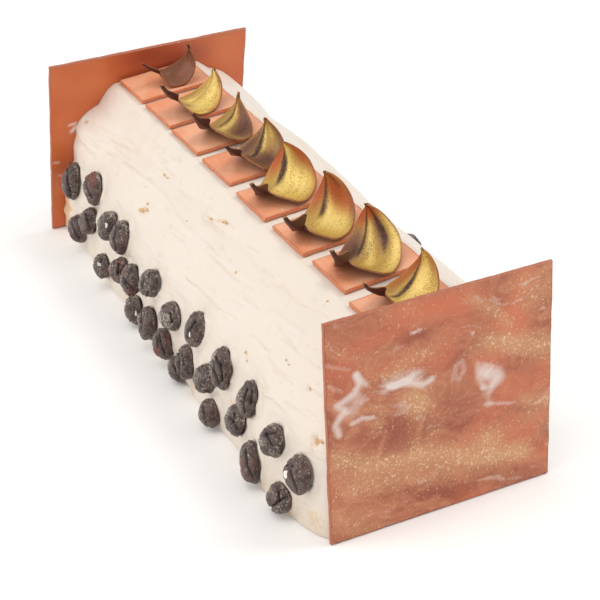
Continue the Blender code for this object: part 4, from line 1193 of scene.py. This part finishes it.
def build_drop(number, place):
    """A drop: a lens whose outline is pulled to its corners and pushed in at its flats and notches,
    with slow lumps, and with grooves and pinholes sunk towards its base."""
    name, side, middle, half, directions = place
    kind = number if side < 0 else (5 * number + 3) % 26 + 1
    local, depth = lens(half, number)
    base = middle - np.asarray(directions[2]) * (half[2] * (1 - 2 * DROP_BACKING) + DROP_SINK)
    points = on_piece(base, directions, local)
    (across, across_way, across_half), (up, up_way, up_half) = seen_from_corner(points, middle, side)
    turn = np.arctan2(up, across)
    pull = np.zeros(turn.shape)
    for angle, rise, reach in OUTLINES.get(kind, ()):
        away = (turn - math.radians(angle) + math.pi) % (2 * math.pi) - math.pi
        pull += rise * bump(away / math.radians(1.6 * reach))
    points = points + (pull * across)[..., None] * across_way * across_half
    points = points + (pull * up)[..., None] * up_way * up_half
    inwards = unit(base - 0.5 * half[2] * np.asarray(directions[2]) - points)
    face = smooth_step((depth + 0.1) / 0.3)
    groove = stroke_field(across, up, [(1.0, 0.11, 0.08, line) for line in GROOVES.get(kind, ())])
    pit = stroke_field(across, up, [(1.0, 0.12, 0.08, (hole, hole)) for hole in PINHOLES.get(kind, ())])
    fleck = stroke_field(across, up, [(1.0, 0.15, 0.13, (spot, (spot[0], spot[1] + 0.12)))
                                      for spot in FLECKS.get(kind, ())])
    fleck = smooth_step((fleck + 0.3 * noise(across * 9, up * 9, 78) - 0.45) / 0.2) * (1 - pit)
    folds = 0.6 * fractal(across * 1.2 + number * 3.7, up * 1.2, 2, 73)
    folds -= 0.35 * bump(fractal(across * 1.3 + number, up * 1.3, 2, 77) / 0.09)
    grit = 0.08 * noise(across * 11 + number, up * 11, 79)
    depth_in = 1.0 * groove + 0.7 * pit - folds - grit - 0.25 * fleck
    points = points + inwards * (depth_in * face)[..., None]
    edge = smooth_step((np.hypot(across, up) - 0.62) / 0.3)
    pale = PALE.get(kind, 0.3) * (0.4 + fractal(across * 1.5, up * 1.5 + number, 2,
                                                81)) + 0.35 * edge * (up > -0.3)
    warm = WARM.get(kind, 0.25) * smooth_step((fractal(across * 1.7 + number, up * 1.7, 2, 83) + 0.2) / 0.6)
    positions, quads, triangles = closed_rings(points)
    fields = {}
    # the pit field, grooves at three quarters, is painted shade
    for key, values in (("bloom", pale), ("warm", warm), ("pit", np.maximum(pit, 0.75 * groove)),
                        ("fleck", fleck)):
        values = values * (depth > -0.2)
        fields[key] = np.concatenate(([values[0].mean()], values[1:-1].ravel(), [0.0]))
    if np.linalg.det(np.asarray(directions)) < 0:
        quads, triangles = quads[:, ::-1], triangles[:, ::-1]
    node = None if name.startswith("extra") else name
    title = (node or f"drop_back_{15 + int(name.split('_')[1])}") + "_chocolate"
    return make_piece(title, positions, quads, triangles, bpy.data.materials["dark_chocolate_bloomed"],
                      "dark_chocolate_drop", node, **fields)


# Add-on -------------------------------------------------------------------------------------------

class CakeCream(PropertyGroup):
    cream: FloatVectorProperty(name="Cream", description="Colour of the whipped cream", subtype="COLOR",
                               size=3, min=0.0, max=1.0, default=linear("#DFD6CC"))
    ridge_height: FloatProperty(name="Ridge height",
                                description="How strongly the palette knife marked the coat",
                                default=1.0, min=0.0, max=2.0)


class CakeChocolate(PropertyGroup):
    plate: FloatVectorProperty(name="End plates", description="Main colour of the marbled plates",
                               subtype="COLOR", size=3, min=0.0, max=1.0, default=linear("#AA6143"))
    tile: FloatVectorProperty(name="Tiles", description="Main colour of the tiles under the petals",
                              subtype="COLOR", size=3, min=0.0, max=1.0, default=linear("#E4A47F"))
    drop: FloatVectorProperty(name="Drops", description="Main colour of the drops along the foot",
                              subtype="COLOR", size=3, min=0.0, max=1.0, default=linear("#3E2E2B"))


class CakeStage(PropertyGroup):
    floor: FloatVectorProperty(name="Floor", description="Colour of the studio paper", subtype="COLOR",
                               size=3, min=0.0, max=1.0, default=linear("#FCFBFA"))
    sky: FloatProperty(name="Surround", description="Strength of the light from all round", default=0.64,
                       min=0.0, max=2.0)
    key: FloatProperty(name="Key light", description="Power of the large soft lamp", default=4.6,
                       min=0.0, max=100.0, subtype="POWER", unit="POWER")
    fill: FloatProperty(name="Fill light", description="Power of the weak lamp in front", default=8.2,
                        min=0.0, max=100.0, subtype="POWER", unit="POWER")
    side: FloatProperty(name="Side light", description="Power of the lamp before the near plate", default=2.2,
                        min=0.0, max=100.0, subtype="POWER", unit="POWER")
    back: FloatProperty(name="Back light", description="Power of the lamp behind the cake", default=8.0,
                        min=0.0, max=100.0, subtype="POWER", unit="POWER")


class CAKE_OT_cream(Operator):
    """Spread the cream coat over the log, with the knife's ridges, and stick crumbs in it"""
    bl_idname = "cake.cream"
    bl_label = "Cream coat"

    def execute(self, context):
        settings = context.scene.cake_cream
        coat = build_coat(settings)
        build_crumbs(*coat[1:])
        return {"FINISHED"}


class CAKE_OT_plates(Operator):
    """Make the two marbled chocolate end plates"""
    bl_idname = "cake.plates"
    bl_label = "End plates"

    def execute(self, context):
        settings = context.scene.cake_chocolate
        marbled_chocolate(settings)
        milk_chocolate("satin_chocolate", colour("#C86437"), "#CC6B3C", "#DC7B44", 0.3, 0.0)
        build_plate("end_plate_near", 1, NEAR_PLATE_STROKES, FAR_PLATE_STROKES, 3)
        build_plate("end_plate_far", -1, {}, FAR_PLATE_STROKES, 8)
        return {"FINISHED"}


class CAKE_OT_tiles(Operator):
    """Lay the eight chocolate tiles along the crest"""
    bl_idname = "cake.tiles"
    bl_label = "Tiles"

    def execute(self, context):
        settings = context.scene.cake_chocolate
        milk_chocolate("tile_chocolate", (*settings.tile, 1.0), "#DF8F67", "#CF7548", 0.42, 0.8)
        for number in range(1, 9):
            build_tile(number)
        return {"FINISHED"}


class CAKE_OT_petals(Operator):
    """Set a gilded chocolate petal on each tile"""
    bl_idname = "cake.petals"
    bl_label = "Petals"

    def execute(self, context):
        gilded_chocolate()
        for number in range(1, 9):
            build_petal(number)
        return {"FINISHED"}


class CAKE_OT_drops(Operator):
    """Press the dark chocolate drops into both long sides"""
    bl_idname = "cake.drops"
    bl_label = "Chocolate drops"

    def execute(self, context):
        settings = context.scene.cake_chocolate
        dark_drop(settings)
        for number, place in enumerate(drop_places(), 1):
            build_drop(number, place)
        return {"FINISHED"}


class CAKE_OT_stage(Operator):
    """Lay the studio paper and set the camera and the soft lamps"""
    bl_idname = "cake.stage"
    bl_label = "Stage"

    def execute(self, context):
        settings = context.scene.cake_stage
        scene = context.scene
        mesh = bpy.data.meshes.new("studio_floor")
        mesh.from_pydata([(-4, -4, 0), (4, -4, 0), (4, 4, 0), (-4, 4, 0)], [], [(0, 1, 2, 3)])
        mesh.materials.append(studio_floor(settings))
        floor = bpy.data.objects.new("studio_floor", mesh)
        scene.collection.objects.link(floor)
        world = bpy.data.worlds.new("studio")
        world.use_nodes = True
        world.node_tree.nodes["Background"].inputs["Color"].default_value = (1.0, 1.0, 1.0, 1.0)
        world.node_tree.nodes["Background"].inputs["Strength"].default_value = settings.sky
        scene.world = world
        scene.view_settings.view_transform = "Standard"
        for name, power, size, place, aim in (
                ("key_lamp", settings.key, 0.9, (0.0, -0.6, 1.35), (-0.03, 0, 0)),
                ("fill_lamp", settings.fill, 1.2, (-0.35, -1.3, 0.7), (-0.05, 0, 0.03)),
                ("side_lamp", settings.side, 1.2, (1.3, -0.1, 0.6), (0, 0, 0.03)),
                ("back_lamp", settings.back, 0.7, (0.2, 0.9, 1.1), (0, 0, 0.03))):
            lamp = bpy.data.lights.new(name, "AREA")
            lamp.energy, lamp.size = power, size
            lamp.color = (1.0, 0.985, 0.96)
            lamp_object = bpy.data.objects.new(name, lamp)
            lamp_object.location = place
            way = np.array(aim, float) - np.array(place)
            lamp_object.rotation_euler = Euler((math.acos(-way[2] / np.linalg.norm(way)), 0.0,
                                                math.atan2(-way[0], way[1])))
            scene.collection.objects.link(lamp_object)
        camera = bpy.data.cameras.new("camera")
        camera.lens, camera.sensor_width = 110.81, 36.0
        camera.clip_start = 0.01
        camera_object = bpy.data.objects.new("camera", camera)
        camera_object.location = (0.59649, -0.30457, 0.41982)
        camera_object.rotation_euler = (math.radians(90 - 30.9305), 0.0, math.radians(62.0366))
        scene.collection.objects.link(camera_object)
        scene.camera = camera_object
        return {"FINISHED"}


class CAKE_PT_panel(Panel):
    """Sizes, colours and pieces of the yule log cake"""
    bl_label = "Yule Log Cake"
    bl_space_type = "VIEW_3D"
    bl_region_type = "UI"
    bl_category = "Cake"

    def draw(self, context):
        for group, operators in ((context.scene.cake_cream, (CAKE_OT_cream,)),
                                 (context.scene.cake_chocolate,
                                  (CAKE_OT_plates, CAKE_OT_tiles, CAKE_OT_petals,
                                                                 CAKE_OT_drops)),
                                 (context.scene.cake_stage, (CAKE_OT_stage,))):
            box = self.layout.box()
            for key in group.bl_rna.properties.keys():
                if key not in {"rna_type", "name"}:
                    box.prop(group, key)
            for operator in operators:
                box.operator(operator.bl_idname)


GROUPS = {"cake_cream": CakeCream, "cake_chocolate": CakeChocolate, "cake_stage": CakeStage}
CLASSES = (CakeCream, CakeChocolate, CakeStage, CAKE_OT_stage, CAKE_OT_cream, CAKE_OT_plates, CAKE_OT_tiles,
           CAKE_OT_petals, CAKE_OT_drops, CAKE_PT_panel)


def register():
    for item in CLASSES:
        bpy.utils.register_class(item)
    for key, group in GROUPS.items():
        setattr(bpy.types.Scene, key, PointerProperty(type=group))


def unregister():
    for key in GROUPS:
        delattr(bpy.types.Scene, key)
    for item in reversed(CLASSES):
        bpy.utils.unregister_class(item)


def main():
    register()
    bpy.ops.cake.stage()
    bpy.ops.cake.cream()
    bpy.ops.cake.plates()
    bpy.ops.cake.tiles()
    bpy.ops.cake.petals()
    bpy.ops.cake.drops()
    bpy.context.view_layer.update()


if __name__ == "__main__":
    main()
